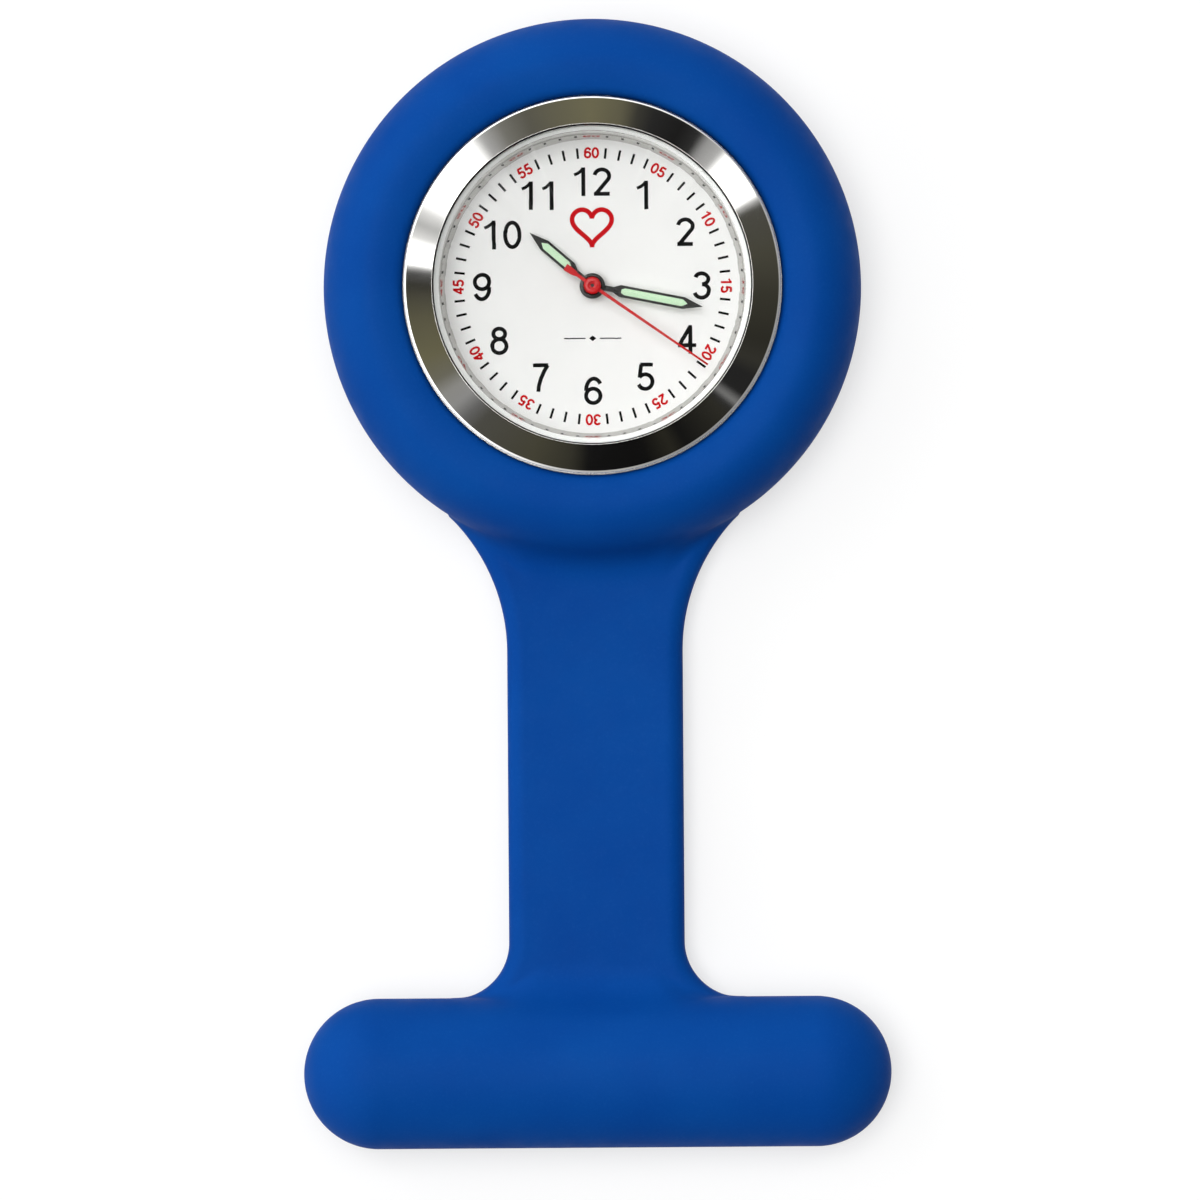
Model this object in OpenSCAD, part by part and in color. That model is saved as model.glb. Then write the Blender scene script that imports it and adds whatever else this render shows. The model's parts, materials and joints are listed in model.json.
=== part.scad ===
/* [Silicone holder] */
// Outer diameter of the ring that holds the watch head
ring_d = 41.5; // [40.5:0.1:46]
// Height of the ring's crest above the back plane
ring_h = 9.3; // [9:0.1:9.8]
// Height of the ring's widest line
ring_waist_h = 3.4; // [3:0.1:4]
// Width of the ring's flat back margin that rounds off outside
ring_foot_in = 2.0; // [1:0.1:2.5]
// Width of the ring's rounded outer flank
ring_flank_w = 4; // [3.5:0.1:4.4]
// Height over which the ring's crest rounds down to its lip
ring_lip_h = 0.6; // [0.4:0.05:0.8]
// Skin of silicone behind the watch head
back_skin = 1.2; // [1:0.1:1.5]
// Opening in the back skin
back_hole_d = 22; // [21.6:0.1:24]
// Gap between the bezel and the front lip that reaches over the case shoulder
lip_gap = 0.12; // [0.1:0.02:0.4]
// Width of the strap
stem_w = 13.6; // [11:0.1:15]
// Thickness of the strap
stem_t = 3.2; // [2.8:0.1:4]
// Rounding of the strap's long edges
stem_edge_r = 1.3; // [0.8:0.1:1.35]
// Radius of the concave flare between ring and strap
flare_r = 14.8; // [10:0.1:16]
// Length of the T-bar
tbar_l = 45.4; // [43:0.1:52]
// Width of the T-bar
tbar_w = 11.6; // [11:0.1:13]
// Height of the T-bar
tbar_h = 8.4; // [7.8:0.1:9.5]
// Height of the T-bar's widest line
tbar_waist_h = 3.0; // [2.5:0.1:3.6]
// Width of the T-bar's flat back margin that rounds off outside
tbar_foot_in = 1.2; // [0.8:0.1:1.6]
// Distance from the ring's centre to the T-bar's centre
tbar_drop = 60.6; // [56:0.1:70]
// Radius of the fillets between strap and T-bar
tbar_fillet_r = 4.4; // [3:0.1:6]

/* [Brooch pin] */
// Length of the brooch bar
brooch_l = 38; // [37.6:0.1:40]
// Width of the brooch bar
brooch_w = 7.2; // [6.8:0.1:7.6]
// Thickness of the brooch bar
brooch_t = 0.6; // [0.5:0.05:0.8]
// Silicone lip that overlaps each edge of the brooch bar
brooch_lip = 0.5; // [0.3:0.1:0.6]
// Silicone lip that overlaps each end of the brooch bar
brooch_end_lip = 0.8; // [0.5:0.1:1]
// Height of the pin's axis above the back plane
pin_h = 1.9; // [1.85:0.05:2.1]
// Height of the brooch bar's underside above the back plane
brooch_h = 3.95; // [3.9:0.05:4.3]
// Diameter of the pin wire
pin_d = 0.9; // [0.7:0.05:0.95]
// Length of the pin's sharpened tip
pin_tip_l = 3; // [2:0.1:5]
// How far the tip stands beyond the catch
pin_over = 2; // [1:0.1:2.2]
// Distance from the bar's middle to the hinge
hinge_x = 15.2; // [14:0.1:16.5]
// Distance from the bar's middle to the catch
catch_x = 14.8; // [13:0.1:15]
// Thickness of each hinge ear
ear_t = 0.5; // [0.4:0.05:0.7]
// Diameter of the pin's knuckle and of the hinge ears' round ends
knuckle_d = 2.1; // [1.8:0.1:2.4]
// Width of the pin's knuckle
knuckle_w = 1.7; // [1.4:0.1:2]
// Diameter of the hinge rivet
rivet_d = 0.76; // [0.6:0.02:0.9]
// Diameter of the rivet's two heads
rivet_head_d = 1.4; // [1.2:0.1:1.7]
// Length of the catch housing
catch_l = 2.4; // [2:0.1:3]
// Outer diameter of the catch housing
catch_d = 3.4; // [3.3:0.05:3.6]
// Outer diameter of the rolling sleeve in the catch
roller_d = 2.5; // [2.4:0.05:2.6]
// Wall of the rolling sleeve
roller_wall = 0.5; // [0.4:0.05:0.6]
// Width of the slot through which the pin leaves the catch
catch_slot_w = 1.15; // [1.05:0.05:1.3]

/* [Case] */
// Outer diameter of the case body
case_d = 31; // [30.7:0.1:32]
// Bore of the case body
case_bore_d = 26; // [25.8:0.1:26.6]
// Height of the case shoulder above the back plane
shoulder_h = 7.6; // [7.55:0.05:7.7]
// Bevel on the case body's outer edges
case_bevel = 0.3; // [0.1:0.05:0.35]
// Wall of the neck that the bezel presses onto
neck_w = 0.7; // [0.5:0.05:0.75]
// Height of that neck
neck_h = 0.7; // [0.5:0.05:0.8]
// Sheet thickness of the case back
case_back_t = 0.7; // [0.5:0.05:0.8]
// Diameter of the case back's flange
case_back_d = 27; // [26:0.1:28]
// Width of the case back's flange outside its snap rim
flange_w = 0.55; // [0.4:0.05:0.7]
// Gap between the case back's raised centre and the edge of the back skin's opening
boss_gap = 0.4; // [0.2:0.05:0.8]
// Width of the slope round the case back's raised centre
boss_slope_w = 1.0; // [0.6:0.1:2]
// Height of the case back's snap rim
snap_rim_h = 1.0; // [0.6:0.1:1.05]
// Wall of the case back's snap rim
snap_rim_w = 0.7; // [0.5:0.05:0.75]
// Thickness of the flat case back gasket
back_gasket_t = 0.36; // [0.3:0.02:0.4]

/* [Bezel and crystal] */
// Outer diameter of the bezel
bezel_d = 28.8; // [28.6:0.1:29.3]
// Height of the bezel's inner edge above the back plane
bezel_h = 9.95; // [9.9:0.05:10.2]
// Height of the bezel's straight outer wall
bezel_wall_h = 1.35; // [1.2:0.05:1.5]
// Bevel at the top of that wall
bezel_bevel = 0.2; // [0.1:0.05:0.3]
// Diameter of the bezel's opening
opening_d = 24.7; // [24.5:0.1:24.9]
// Width of the ledge that carries the crystal gasket
ledge_w = 0.45; // [0.3:0.05:0.5]
// Thickness of that ledge
ledge_t = 0.2; // [0.15:0.05:0.3]
// Wall of the crystal gasket
gasket_w = 0.22; // [0.15:0.01:0.25]
// Thickness of the crystal
crystal_t = 1.5; // [1.2:0.05:1.55]
// Width of the bevel round the crystal
crystal_bevel = 0.38; // [0.2:0.02:0.5]
// Drop of the bevel round the crystal
crystal_bevel_h = 0.22; // [0.1:0.02:0.4]

/* [Crown] */
// Diameter of the crown
crown_d = 4.0; // [3.8:0.1:4.4]
// Length of the crown
crown_l = 2.4; // [2.2:0.1:2.5]
// Number of flutes round the crown
crown_flutes = 24; // [16:1:32]
// Gap between the case and the pushed-in crown
crown_gap = 0.25; // [0.2:0.05:0.35]
// Outward travel of the crown to its setting position
crown_travel = 0.8; // [0.6:0.1:0.9]
// Outer diameter of the crown tube
tube_d = 2.4; // [2.2:0.1:2.5]
// Bore of the crown tube
tube_bore_d = 1.3; // [1.25:0.05:1.4]
// Wall of the crown's skirt round its seal
crown_skirt = 0.45; // [0.3:0.05:0.5]
// Height of the stem's axis above the back plane
stem_axis_h = 3.5; // [3.45:0.05:3.55]

/* [Dial] */
// Diameter of the dial
dial_d = 25; // [24.6:0.1:25.4]
// Thickness of the dial
dial_t = 0.4; // [0.3:0.05:0.4]
// Height of the dial's face above the back plane
dial_h = 5.5; // [5.5:0.05:5.6]
// Diameter of the dial's centre hole
dial_hole_d = 1.8; // [1.6:0.1:2]
// Width of the sloped flange ring where it stands on the dial
rehaut_w = 1.63; // [1.4:0.01:1.8]
// How far the flange ring's slope leans outwards
rehaut_lean = 0.51; // [0.45:0.01:0.6]
// Width of the flatter bevel at the flange ring's foot
rehaut_toe_w = 0.35; // [0.2:0.01:0.4]
// Height of that bevel
rehaut_toe_h = 0.42; // [0.3:0.01:0.5]

/* [Hands] */
// Reading of the hour hand, clockwise from twelve
hour_a = 310.7; // [0:0.1:360]
// Reading of the minute hand, clockwise from twelve
minute_a = 101.2; // [0:0.1:360]
// Reading of the seconds hand, clockwise from twelve
seconds_a = 125.2; // [0:0.1:360]
// Length of the hour hand
hour_l = 6.3; // [5.5:0.1:7.5]
// Length of the minute hand
minute_l = 8.6; // [8:0.1:9.8]
// Length of the seconds hand
seconds_l = 10.7; // [10:0.1:11]
// Length of the seconds hand's tail
seconds_tail_l = 2.5; // [2:0.1:4]
// Width of the hour and minute hands
hand_w = 0.92; // [0.75:0.01:1.2]
// Width of the hour and minute hands' necks
neck_hand_w = 0.42; // [0.2:0.02:0.5]
// Distance from the axis to the shoulder where those hands start to widen
hand_shoulder_l = 1.65; // [1.2:0.05:2.2]
// Length over which they widen
hand_swell_l = 0.5; // [0.3:0.05:0.8]
// Length of their points
hand_point_l = 1.5; // [1:0.1:2]
// Outline left beside each luminous filling
hand_rim = 0.19; // [0.1:0.01:0.22]
// Thickness of each hand
hand_t = 0.15; // [0.1:0.01:0.18]
// Gap between one hand and the next
hand_gap = 0.3; // [0.25:0.01:0.32]
// Diameter of the hour and minute hands' hubs
hub_d = 1.92; // [1.8:0.02:2.2]
// Diameter of the seconds hand's hub
seconds_hub_d = 1.32; // [1.2:0.02:1.8]
// Width of the seconds hand at its hub
seconds_w = 0.26; // [0.2:0.02:0.4]
// Width of the seconds hand's tail at its end
seconds_tail_w = 0.56; // [0.4:0.02:0.9]

/* [Movement] */
// Diameter of the movement
movement_d = 19.2; // [19.2:0.05:19.6]
// Height of the movement
movement_h = 3.3; // [3.3:0.05:3.35]
// Thickness of the train bridge
bridge_t = 0.5; // [0.4:0.05:0.5]
// Diameter of the battery
battery_d = 6.8; // [6.2:0.1:6.8]
// Thickness of the battery
battery_t = 2.6; // [2.1:0.1:2.6]
// Distance from the hands' axis to the battery's centre
battery_drop = 5.95; // [5.9:0.05:6.0]
// Direction of the battery
battery_a = 205; // [202:0.5:208]
// Diameter of the coil winding
coil_d = 2.1; // [1.6:0.1:2.1]
// Length of the coil winding
coil_l = 7.8; // [6:0.1:7.8]
// Distance from the hands' axis to the coil's axis
coil_y = 7.15; // [7.05:0.05:7.2]
// Thickness of the stator and of the coil core
lamination_t = 0.5; // [0.4:0.05:0.5]
// Distance from the hands' axis to the rotor
rotor_drop = 4.45; // [4.4:0.01:4.48]
// Distance from the hands' axis to the bridge screw beside the battery
screw_drop_left = 4.3; // [4.2:0.05:4.6]
// Distance from the hands' axis to the bridge screw on the board's side
screw_drop_low = 5.3; // [5.2:0.05:5.6]
// Distance from the hands' axis to the bridge screw beside the motor
screw_drop_right = 4.35; // [4.3:0.05:4.6]
// Radius of the lugs round the bridge screws
lug_r = 1.0; // [0.8:0.05:1.1]
// How far the coil core stands out at each end of the winding
core_over = 1.1; // [1:0.05:1.15]
// Width of the coil core
core_w = 1.0; // [0.8:0.05:1.1]
// Diameter of the rotor magnet
magnet_d = 1.5; // [1.2:0.1:1.6]
// Length of the quartz crystal can
quartz_l = 5.0; // [4:0.1:5.5]
// Diameter of the quartz crystal can
quartz_d = 1.5; // [1.2:0.1:1.6]

/* [Gear train] */
// Module of the rotor pinion and the fifth wheel
fifth_m = 0.1; // [0.095:0.001:0.102]
// Module of the fifth pinion and the seconds wheel
seconds_m = 0.145; // [0.143:0.001:0.148]
// Module of the third pinion and the centre wheel
centre_m = 0.07; // [0.069:0.001:0.071]
// Module of the cannon pinion, the minute wheel and the hour wheel
motion_m = 0.1; // [0.095:0.001:0.1]
// Direction from the hands' axis to the third wheel
third_a = -45; // [-55:1:-40]
// Direction from the hands' axis to the minute wheel
minute_wheel_a = 15; // [5:1:25]
// Thickness of each wheel's rim
wheel_t = 0.15; // [0.12:0.01:0.16]
// Diameter of the arbors
arbor_d = 0.24; // [0.2:0.01:0.3]

/* [Hidden] */
$fn = 72;

eps = 0.01;
cut = 1;               // how far a cutter runs past what it cuts
press_gap = 0.02;      // pieces pressed or seated in each other
free_gap = 0.05;       // pieces that turn or slide on each other
pocket_gap = 0.1;      // rigid pieces in a moulded or milled pocket
pivot_gap = 0.03;      // arbors in their bearings
arc_steps = 8;         // straight facets in a quarter of a moulded curve

// Radii
ring_r = ring_d / 2;
case_r = case_d / 2;
case_bore_r = case_bore_d / 2;
bezel_r = bezel_d / 2;
lip_r = bezel_r + lip_gap;
opening_r = opening_d / 2;
movement_r = movement_d / 2;
arbor_r = arbor_d / 2;
hole_r = arbor_r + pivot_gap;

// Strap and T-bar
tbar_end_x = tbar_l / 2 - tbar_w / 2;
flare_dip = 0.1;       // how far the flare's edge runs inside the ring's widest line
fillet_dip = 0.14;     // the same where the strap's fillets meet the T-bar
flare_x = stem_w / 2 + flare_r;
flare_y = sqrt(pow(ring_r + flare_r - flare_dip, 2) - pow(flare_x, 2));
flare_half = flare_x * ring_r / (ring_r + flare_r);
fillet_x = stem_w / 2 + tbar_fillet_r;
fillet_y = tbar_drop - tbar_w / 2 - tbar_fillet_r + fillet_dip;

// Brooch
channel_w = brooch_w - 2 * brooch_lip;
pin_tip_x = -catch_x - catch_l / 2 - pin_over;
ear_y = knuckle_w / 2 + free_gap + ear_t / 2;
tab_l = 0.5;           // thumb tab of the rolling sleeve, beyond the catch housing
tab_reach = catch_d / 2 + free_gap;

// Case stack
flange_z = back_skin;
flange_top = flange_z + case_back_t;
back_gasket_z = flange_top;
step_z = back_gasket_z + back_gasket_t;
flange_r = case_back_d / 2;
boss_r = back_hole_d / 2 - boss_gap;
boss_flat_r = boss_r - boss_slope_w;
snap_r = flange_r - flange_w;
snap_seat_r = snap_r + free_gap;
snap_seat_top = flange_top + snap_rim_h + pocket_gap;
ledge_rise = 0.25;     // from the case shoulder to the bezel's ledge
gasket_foot_t = 0.15;  // part of the crystal gasket that lies under the crystal
ledge_z = shoulder_h + ledge_rise;
crystal_r = opening_r - gasket_w - press_gap;
crystal_z = ledge_z + ledge_t + gasket_foot_t;
crystal_top = crystal_z + crystal_t;
gasket_in_r = opening_r - ledge_w;

// Dial stack
dial_z = dial_h - dial_t;
rehaut_top = ledge_z - free_gap;
rehaut_out_r = case_bore_r - pocket_gap;
rehaut_foot_r = rehaut_out_r - rehaut_w;
foot_r = 0.35;         // the dial's two feet
foot_l = 0.8;
dial_feet = [polar(8.6, 38), polar(8.6, -52)];
movement_top = dial_z - free_gap;
movement_z = movement_top - movement_h;

// Heights in the movement
wheel_gap = 0.2;       // between one wheel and the next
broad_gap = 0.25;      // the same beside the bridge and under the centre wheel
web_gap = 0.3;         // between the uppermost wheel and the main plate's web
web_t = 0.4;           // that web, which carries the upper bearings
motion_gap = 0.15;     // between the minute wheel and the hour wheel
leaf_over = 0.1;       // how far a pinion's leaves run past the wheel that they drive
magnet_gap = 0.1;      // between the bridge and the rotor magnet
magnet_l = 0.8;
bridge_z = movement_z;
bridge_top = bridge_z + bridge_t;
seconds_wheel_z = bridge_top + broad_gap;
third_wheel_z = seconds_wheel_z + wheel_t + wheel_gap;
centre_wheel_z = third_wheel_z + wheel_t + broad_gap;
fifth_wheel_z = centre_wheel_z + wheel_t + wheel_gap;
web_z = fifth_wheel_z + wheel_t + web_gap;
web_top = web_z + web_t;
motion_z = web_top + free_gap;
hour_wheel_z = motion_z + wheel_t + motion_gap;
stator_z = bridge_top + wheel_gap;
core_z = stator_z + lamination_t;
magnet_z = bridge_top + magnet_gap;
pivot_z0 = bridge_z + 0.1;
pivot_z1 = web_z + 0.3;

// Heights of the hands
hour_rise = 0.45;      // from the dial to the hour hand
hour_z = dial_h + hour_rise;
minute_z = hour_z + hand_t + hand_gap;
seconds_z = minute_z + hand_t + hand_gap;
lume_gap = 0.1;        // along the hand, between its shoulder or point and the filling
lume_point_l = 0.4;    // pointed end of the filling

// Tooth counts, which give sixty to one and twelve to one exactly
tooth_rise = 1.7;      // outer diameter over pitch diameter, in modules
rotor_leaves = 6;
fifth_teeth = 36;
fifth_leaves = 6;
seconds_teeth = 30;
seconds_leaves = 8;
third_teeth = 60;
third_leaves = 8;
centre_teeth = 64;
cannon_leaves = 10;
minute_teeth = 30;
minute_leaves = 8;
hour_teeth = 32;
setting_teeth = 20;

// Gear centres
third_dist = centre_m * (centre_teeth + third_leaves) / 2;
third_m = 2 * third_dist / (third_teeth + seconds_leaves);
fifth_dist = seconds_m * (seconds_teeth + fifth_leaves) / 2;
rotor_dist = fifth_m * (fifth_teeth + rotor_leaves) / 2;
motion_dist = motion_m * (cannon_leaves + minute_teeth) / 2;
setting_dist = motion_m * (minute_teeth + setting_teeth) / 2;
rotor_y = rotor_drop;
rotor_pos = [0, rotor_y];
fifth_a = 90 - acos((pow(fifth_dist, 2) + pow(rotor_y, 2) - pow(rotor_dist, 2)) / (2 * fifth_dist * rotor_y));
rotor_a = atan2(rotor_pos.y - fifth_dist * sin(fifth_a), rotor_pos.x - fifth_dist * cos(fifth_a));
setting_a = -8;
third_pos = polar(third_dist, third_a);
fifth_pos = polar(fifth_dist, fifth_a);
minute_pos = polar(motion_dist, minute_wheel_a);
setting_pos = minute_pos + polar(setting_dist, setting_a);
battery_pos = polar(battery_drop, battery_a);

// Phase of each gear's first tooth, so that the teeth are in mesh
seconds_wheel_ph = 0;
fifth_pinion_ph = mate(seconds_wheel_ph, seconds_teeth, fifth_leaves, fifth_a);
fifth_wheel_ph = 0;
rotor_pinion_ph = mate(fifth_wheel_ph, fifth_teeth, rotor_leaves, rotor_a);
seconds_pinion_ph = 0;
third_wheel_ph = mate(seconds_pinion_ph, seconds_leaves, third_teeth, third_a);
centre_wheel_ph = 0;
third_pinion_ph = mate(centre_wheel_ph, centre_teeth, third_leaves, third_a);
cannon_ph = 0;
minute_wheel_ph = mate(cannon_ph, cannon_leaves, minute_teeth, minute_wheel_a);
hour_wheel_ph = 0;
minute_pinion_ph = mate(hour_wheel_ph, hour_teeth, minute_leaves, minute_wheel_a);
setting_wheel_ph = mate(minute_wheel_ph, minute_teeth, setting_teeth, setting_a);

// Main plate and bridge
wheel_room = 0.15;     // between a wheel's teeth and the wall of its recess
post_r = 0.2;          // posts on which the dial-side wheels and levers turn
bridge_screw_spots = [polar(screw_drop_left, 150), polar(screw_drop_low, -78), polar(screw_drop_right, 34)];
screw_shank_r = 0.35;
screw_head_r = 0.7;
screw_l = 1.2;         // how deep the screws go into the main plate
lug_arm_share = 0.75;  // width of a lug's arm as a share of the lug

// Motor, battery and circuit
stator_in = 1.2;       // stator's edges on both sides of the rotor
stator_out = 1.3;
coil_room = 0.3;
magnet_room = 0.2;
contact_r = 1.5;
contact_t = 0.2;
board_y = -4.4;        // the board's straight edge
board_t = 0.15;
board_margin = 0.2;
quartz_pos = [1.4, board_y - 1.35 - quartz_d / 2];
quartz_lift = 0.1;     // between the board and the quartz can
quartz_room = 0.2;
ic_pos = [5.2, -5.4];
ic_w = 1.6;
ic_t = 0.6;

// Pipes on the hands' axis
seconds_arbor_r = arbor_r;
minute_pipe_in = seconds_arbor_r + free_gap;
minute_pipe_out = 0.45;
hour_pipe_in = minute_pipe_out + free_gap;
hour_pipe_out = 0.72;

// Keyless works
stem_r = tube_bore_d / 2 - pocket_gap;
square_w = 0.8;
clutch_r = 1.0;
clutch_l = 1.2;
clutch_shift = 0.5;    // inward travel of the clutch while the crown comes out
setting_gap = 0.14;    // between the setting wheel and the clutch at the end of that travel
clutch_x = setting_pos.x + motion_m * (setting_teeth / 2 + 1) + setting_gap + clutch_shift;
clutch_groove_r = 0.65;
groove_w = 0.5;
stem_groove_r = 0.3;
stem_groove_x = clutch_x + clutch_l + 0.85;
pilot_l = 0.5;         // round end of the stem, past its square
stem_tip_x = clutch_x - clutch_shift - pilot_l;
lever_pivot = [stem_groove_x + crown_travel / 2, 2.3];
yoke_pivot = [clutch_x + clutch_l / 2 - clutch_shift / 2, -2.4];
lever_z = web_top + 0.1;
lever_t = 0.2;
lever_tail_l = 1.2;
nose_r = 0.15;
keyless_x = clutch_x - clutch_shift - 0.4;
keyless_wall = 0.6;

// Crown stack
crown_x = case_r + crown_gap;
tube_in_x = case_bore_r;
crown_end_t = 0.7;     // the crown's closed end
crown_cavity_l = crown_l - crown_end_t;
crown_room = 0.3;      // round the crown in the holder
crown_end_gap = 0.15;  // past the crown's stroke, and between the tube and the crown's closed end
tube_out_x = crown_x + crown_cavity_l - crown_end_gap;
crown_pocket_x = crown_x + crown_l + crown_travel + crown_end_gap;
stem_screw_l = 0.4;    // threaded end of the stem in the crown

function polar(r, a) = [r * cos(a), r * sin(a)];

// Phase of a gear that meshes, in direction a, with one whose first tooth is at phase
function mate(phase, teeth, other_teeth, a) =
    a + 180 + 180 / other_teeth - (phase - a) * teeth / other_teeth;

function arc(centre, rx, ry, from, to, steps = arc_steps) = [
    for (i = [0 : steps])
        let (a = from + (to - from) * i / steps)
        centre + [rx * cos(a), ry * sin(a)]
];

// Outline of a gear: four points a tooth, each as a share of the pitch and a height in modules
function gear_points(teeth, m, phase) = [
    for (i = [0 : teeth - 1])
        for (p = [[-0.22, -1.15], [-0.1, tooth_rise / 2], [0.1, tooth_rise / 2], [0.22, -1.15]])
            polar(m * (teeth / 2 + p.y), phase + (i + p.x) * 360 / teeth)
];

function slot_points(l, w) = concat(
    arc([l / 2 - w / 2, 0], w / 2, w / 2, -90, 90, 2 * arc_steps),
    arc([w / 2 - l / 2, 0], w / 2, w / 2, 90, 270, 2 * arc_steps)
);

module disc(r, z0, z1) {
    translate([0, 0, z0]) cylinder(r = r, h = z1 - z0);
}

module tube(r, bore, z0, z1) {
    difference() {
        disc(r, z0, z1);
        disc(bore, z0 - cut, z1 + cut);
    }
}

module gear(teeth, m, phase, z0, z1, bore = 0) {
    difference() {
        translate([0, 0, z0]) linear_extrude(z1 - z0) polygon(gear_points(teeth, m, phase));
        if (bore > 0) disc(bore, z0 - cut, z1 + cut);
    }
}

// Round rod along X at the height of the stem's axis
module x_rod(r, x0, x1) {
    translate([x0, 0, stem_axis_h]) rotate([0, 90, 0]) cylinder(r = r, h = x1 - x0);
}

/* ---- Silicone holder ---- */

function ring_profile() = concat(
    [[0, 0]],
    arc([ring_r - ring_foot_in, ring_waist_h], ring_foot_in, ring_waist_h, -90, 0),
    arc([ring_r - ring_flank_w, ring_waist_h], ring_flank_w, ring_h - ring_waist_h, 0, 90, 2 * arc_steps),
    arc([ring_r - ring_flank_w, ring_h - ring_lip_h], ring_r - ring_flank_w - lip_r, ring_lip_h, 90, 180),
    [[0, ring_h - ring_lip_h]]
);

function strap_section() = concat(
    arc([stem_w / 2 - stem_edge_r, stem_edge_r], stem_edge_r, stem_edge_r, -90, 0),
    arc([stem_w / 2 - stem_edge_r, stem_t - stem_edge_r], stem_edge_r, stem_edge_r, 0, 90),
    arc([stem_edge_r - stem_w / 2, stem_t - stem_edge_r], stem_edge_r, stem_edge_r, 90, 180),
    arc([stem_edge_r - stem_w / 2, stem_edge_r], stem_edge_r, stem_edge_r, 180, 270)
);

// Half of the T-bar's section: flat back, rounded flanks, domed front
function tbar_half() = concat(
    [[0, 0]],
    arc([tbar_w / 2 - tbar_foot_in, tbar_waist_h], tbar_foot_in, tbar_waist_h, -90, 0),
    arc([0, tbar_waist_h], tbar_w / 2, tbar_h - tbar_waist_h, 0, 90, 2 * arc_steps)
);

function mirrored(points) = concat(
    points,
    [for (i = [len(points) - 1 : -1 : 0]) [-points[i].x, points[i].y]]
);

// Cutter that leaves a concave edge of radius r with the strap's own rounding
module concave_cutter(r) {
    rotate_extrude() polygon(concat(
        [[0, -cut], [r + stem_edge_r, -cut]],
        arc([r + stem_edge_r, stem_edge_r], stem_edge_r, stem_edge_r, 270, 180),
        arc([r + stem_edge_r, stem_t - stem_edge_r], stem_edge_r, stem_edge_r, 180, 90),
        [[r + stem_edge_r, stem_t + cut], [0, stem_t + cut]]
    ));
}

module flare() {
    under_ring = 2;
    difference() {
        translate([-flare_half, -flare_y, 0]) cube([2 * flare_half, flare_y - lip_r + under_ring, stem_t]);
        for (side = [-1, 1]) translate([side * flare_x, -flare_y, 0]) concave_cutter(flare_r);
    }
}

module tbar_fillets() {
    difference() {
        translate([-fillet_x, -tbar_drop + tbar_w / 4, 0])
            cube([2 * fillet_x, tbar_drop - tbar_w / 4 - fillet_y, stem_t]);
        for (side = [-1, 1]) translate([side * fillet_x, -fillet_y, 0]) concave_cutter(tbar_fillet_r);
    }
}

module strap() {
    translate([0, -flare_y, 0]) rotate([90, 0, 0])
        linear_extrude(fillet_y - flare_y) polygon(strap_section());
}

module tbar() {
    translate([0, -tbar_drop, 0]) {
        translate([-tbar_end_x, 0, 0]) rotate([90, 0, 90])
            linear_extrude(2 * tbar_end_x) polygon(mirrored(tbar_half()));
        for (side = [0, 180]) rotate([0, 0, side]) translate([tbar_end_x, 0, 0]) rotate([0, 0, -90])
            rotate_extrude(angle = 180) polygon(tbar_half());
    }
}

module head_pocket() {
    disc(back_hole_d / 2, -cut, back_skin + eps);
    disc(case_r + free_gap, back_skin, shoulder_h + free_gap);
    disc(lip_r, shoulder_h, ring_h + cut);
    x_rod(crown_d / 2 + crown_room, case_r - cut, crown_pocket_x);
}

module brooch_pocket() {
    slot_l = brooch_l - 2 * brooch_end_lip;
    translate([0, -tbar_drop, 0]) {
        translate([-slot_l / 2, -channel_w / 2, -cut]) cube([slot_l, channel_w, brooch_h + cut + eps]);
        translate([0, 0, brooch_h]) linear_extrude(brooch_t + pocket_gap)
            polygon(slot_points(brooch_l + 2 * pocket_gap, brooch_w + 2 * pocket_gap));
    }
}

module silicone_holder() {
    color([0.05, 0.29, 0.62]) difference() {
        union() {
            rotate_extrude() polygon(ring_profile());
            flare();
            strap();
            tbar_fillets();
            tbar();
        }
        head_pocket();
        brooch_pocket();
    }
}

/* ---- Brooch pin ---- */

module at_brooch() {
    translate([0, -tbar_drop, 0]) children();
}

// Round rod along Y through the brooch hinge
module hinge_rod(r, w) {
    translate([hinge_x, w / 2, pin_h]) rotate([90, 0, 0]) cylinder(r = r, h = w);
}

// Round rod along X through the catch
module catch_rod(r, x0, x1) {
    translate([x0, 0, pin_h]) rotate([0, 90, 0]) cylinder(r = r, h = x1 - x0);
}

module catch_slot() {
    translate([-catch_x - catch_l, -catch_slot_w / 2, pin_h - catch_d])
        cube([2 * catch_l, catch_slot_w, catch_d]);
}

module hinge_ear(y) {
    difference() {
        union() {
            translate([hinge_x, y + ear_t / 2, pin_h]) rotate([90, 0, 0]) cylinder(d = knuckle_d, h = ear_t);
            translate([hinge_x - knuckle_d / 2, y - ear_t / 2, pin_h])
                cube([knuckle_d, ear_t, brooch_h - pin_h + brooch_t / 2]);
        }
        hinge_rod(rivet_d / 2 + press_gap, brooch_w);
    }
}

module catch_housing() {
    foot_w = 1.6;
    difference() {
        union() {
            catch_rod(catch_d / 2, -catch_x - catch_l / 2, -catch_x + catch_l / 2);
            translate([-catch_x - catch_l / 2, -foot_w / 2, pin_h])
                cube([catch_l, foot_w, brooch_h - pin_h + brooch_t / 2]);
        }
        catch_rod(roller_d / 2 + free_gap, -catch_x - catch_l, -catch_x + catch_l);
        catch_slot();
    }
}

module brooch_bar() {
    screw_hole_d = 1.8;
    hole_x = 7;
    color([0.78, 0.78, 0.8]) at_brooch() {
        difference() {
            translate([0, 0, brooch_h]) linear_extrude(brooch_t) polygon(slot_points(brooch_l, brooch_w));
            for (x = [-hole_x, hole_x]) translate([x, 0, 0])
                disc(screw_hole_d / 2, brooch_h - cut, brooch_h + cut + brooch_t);
        }
        for (y = [-ear_y, ear_y]) hinge_ear(y);
        catch_housing();
    }
}

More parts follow.
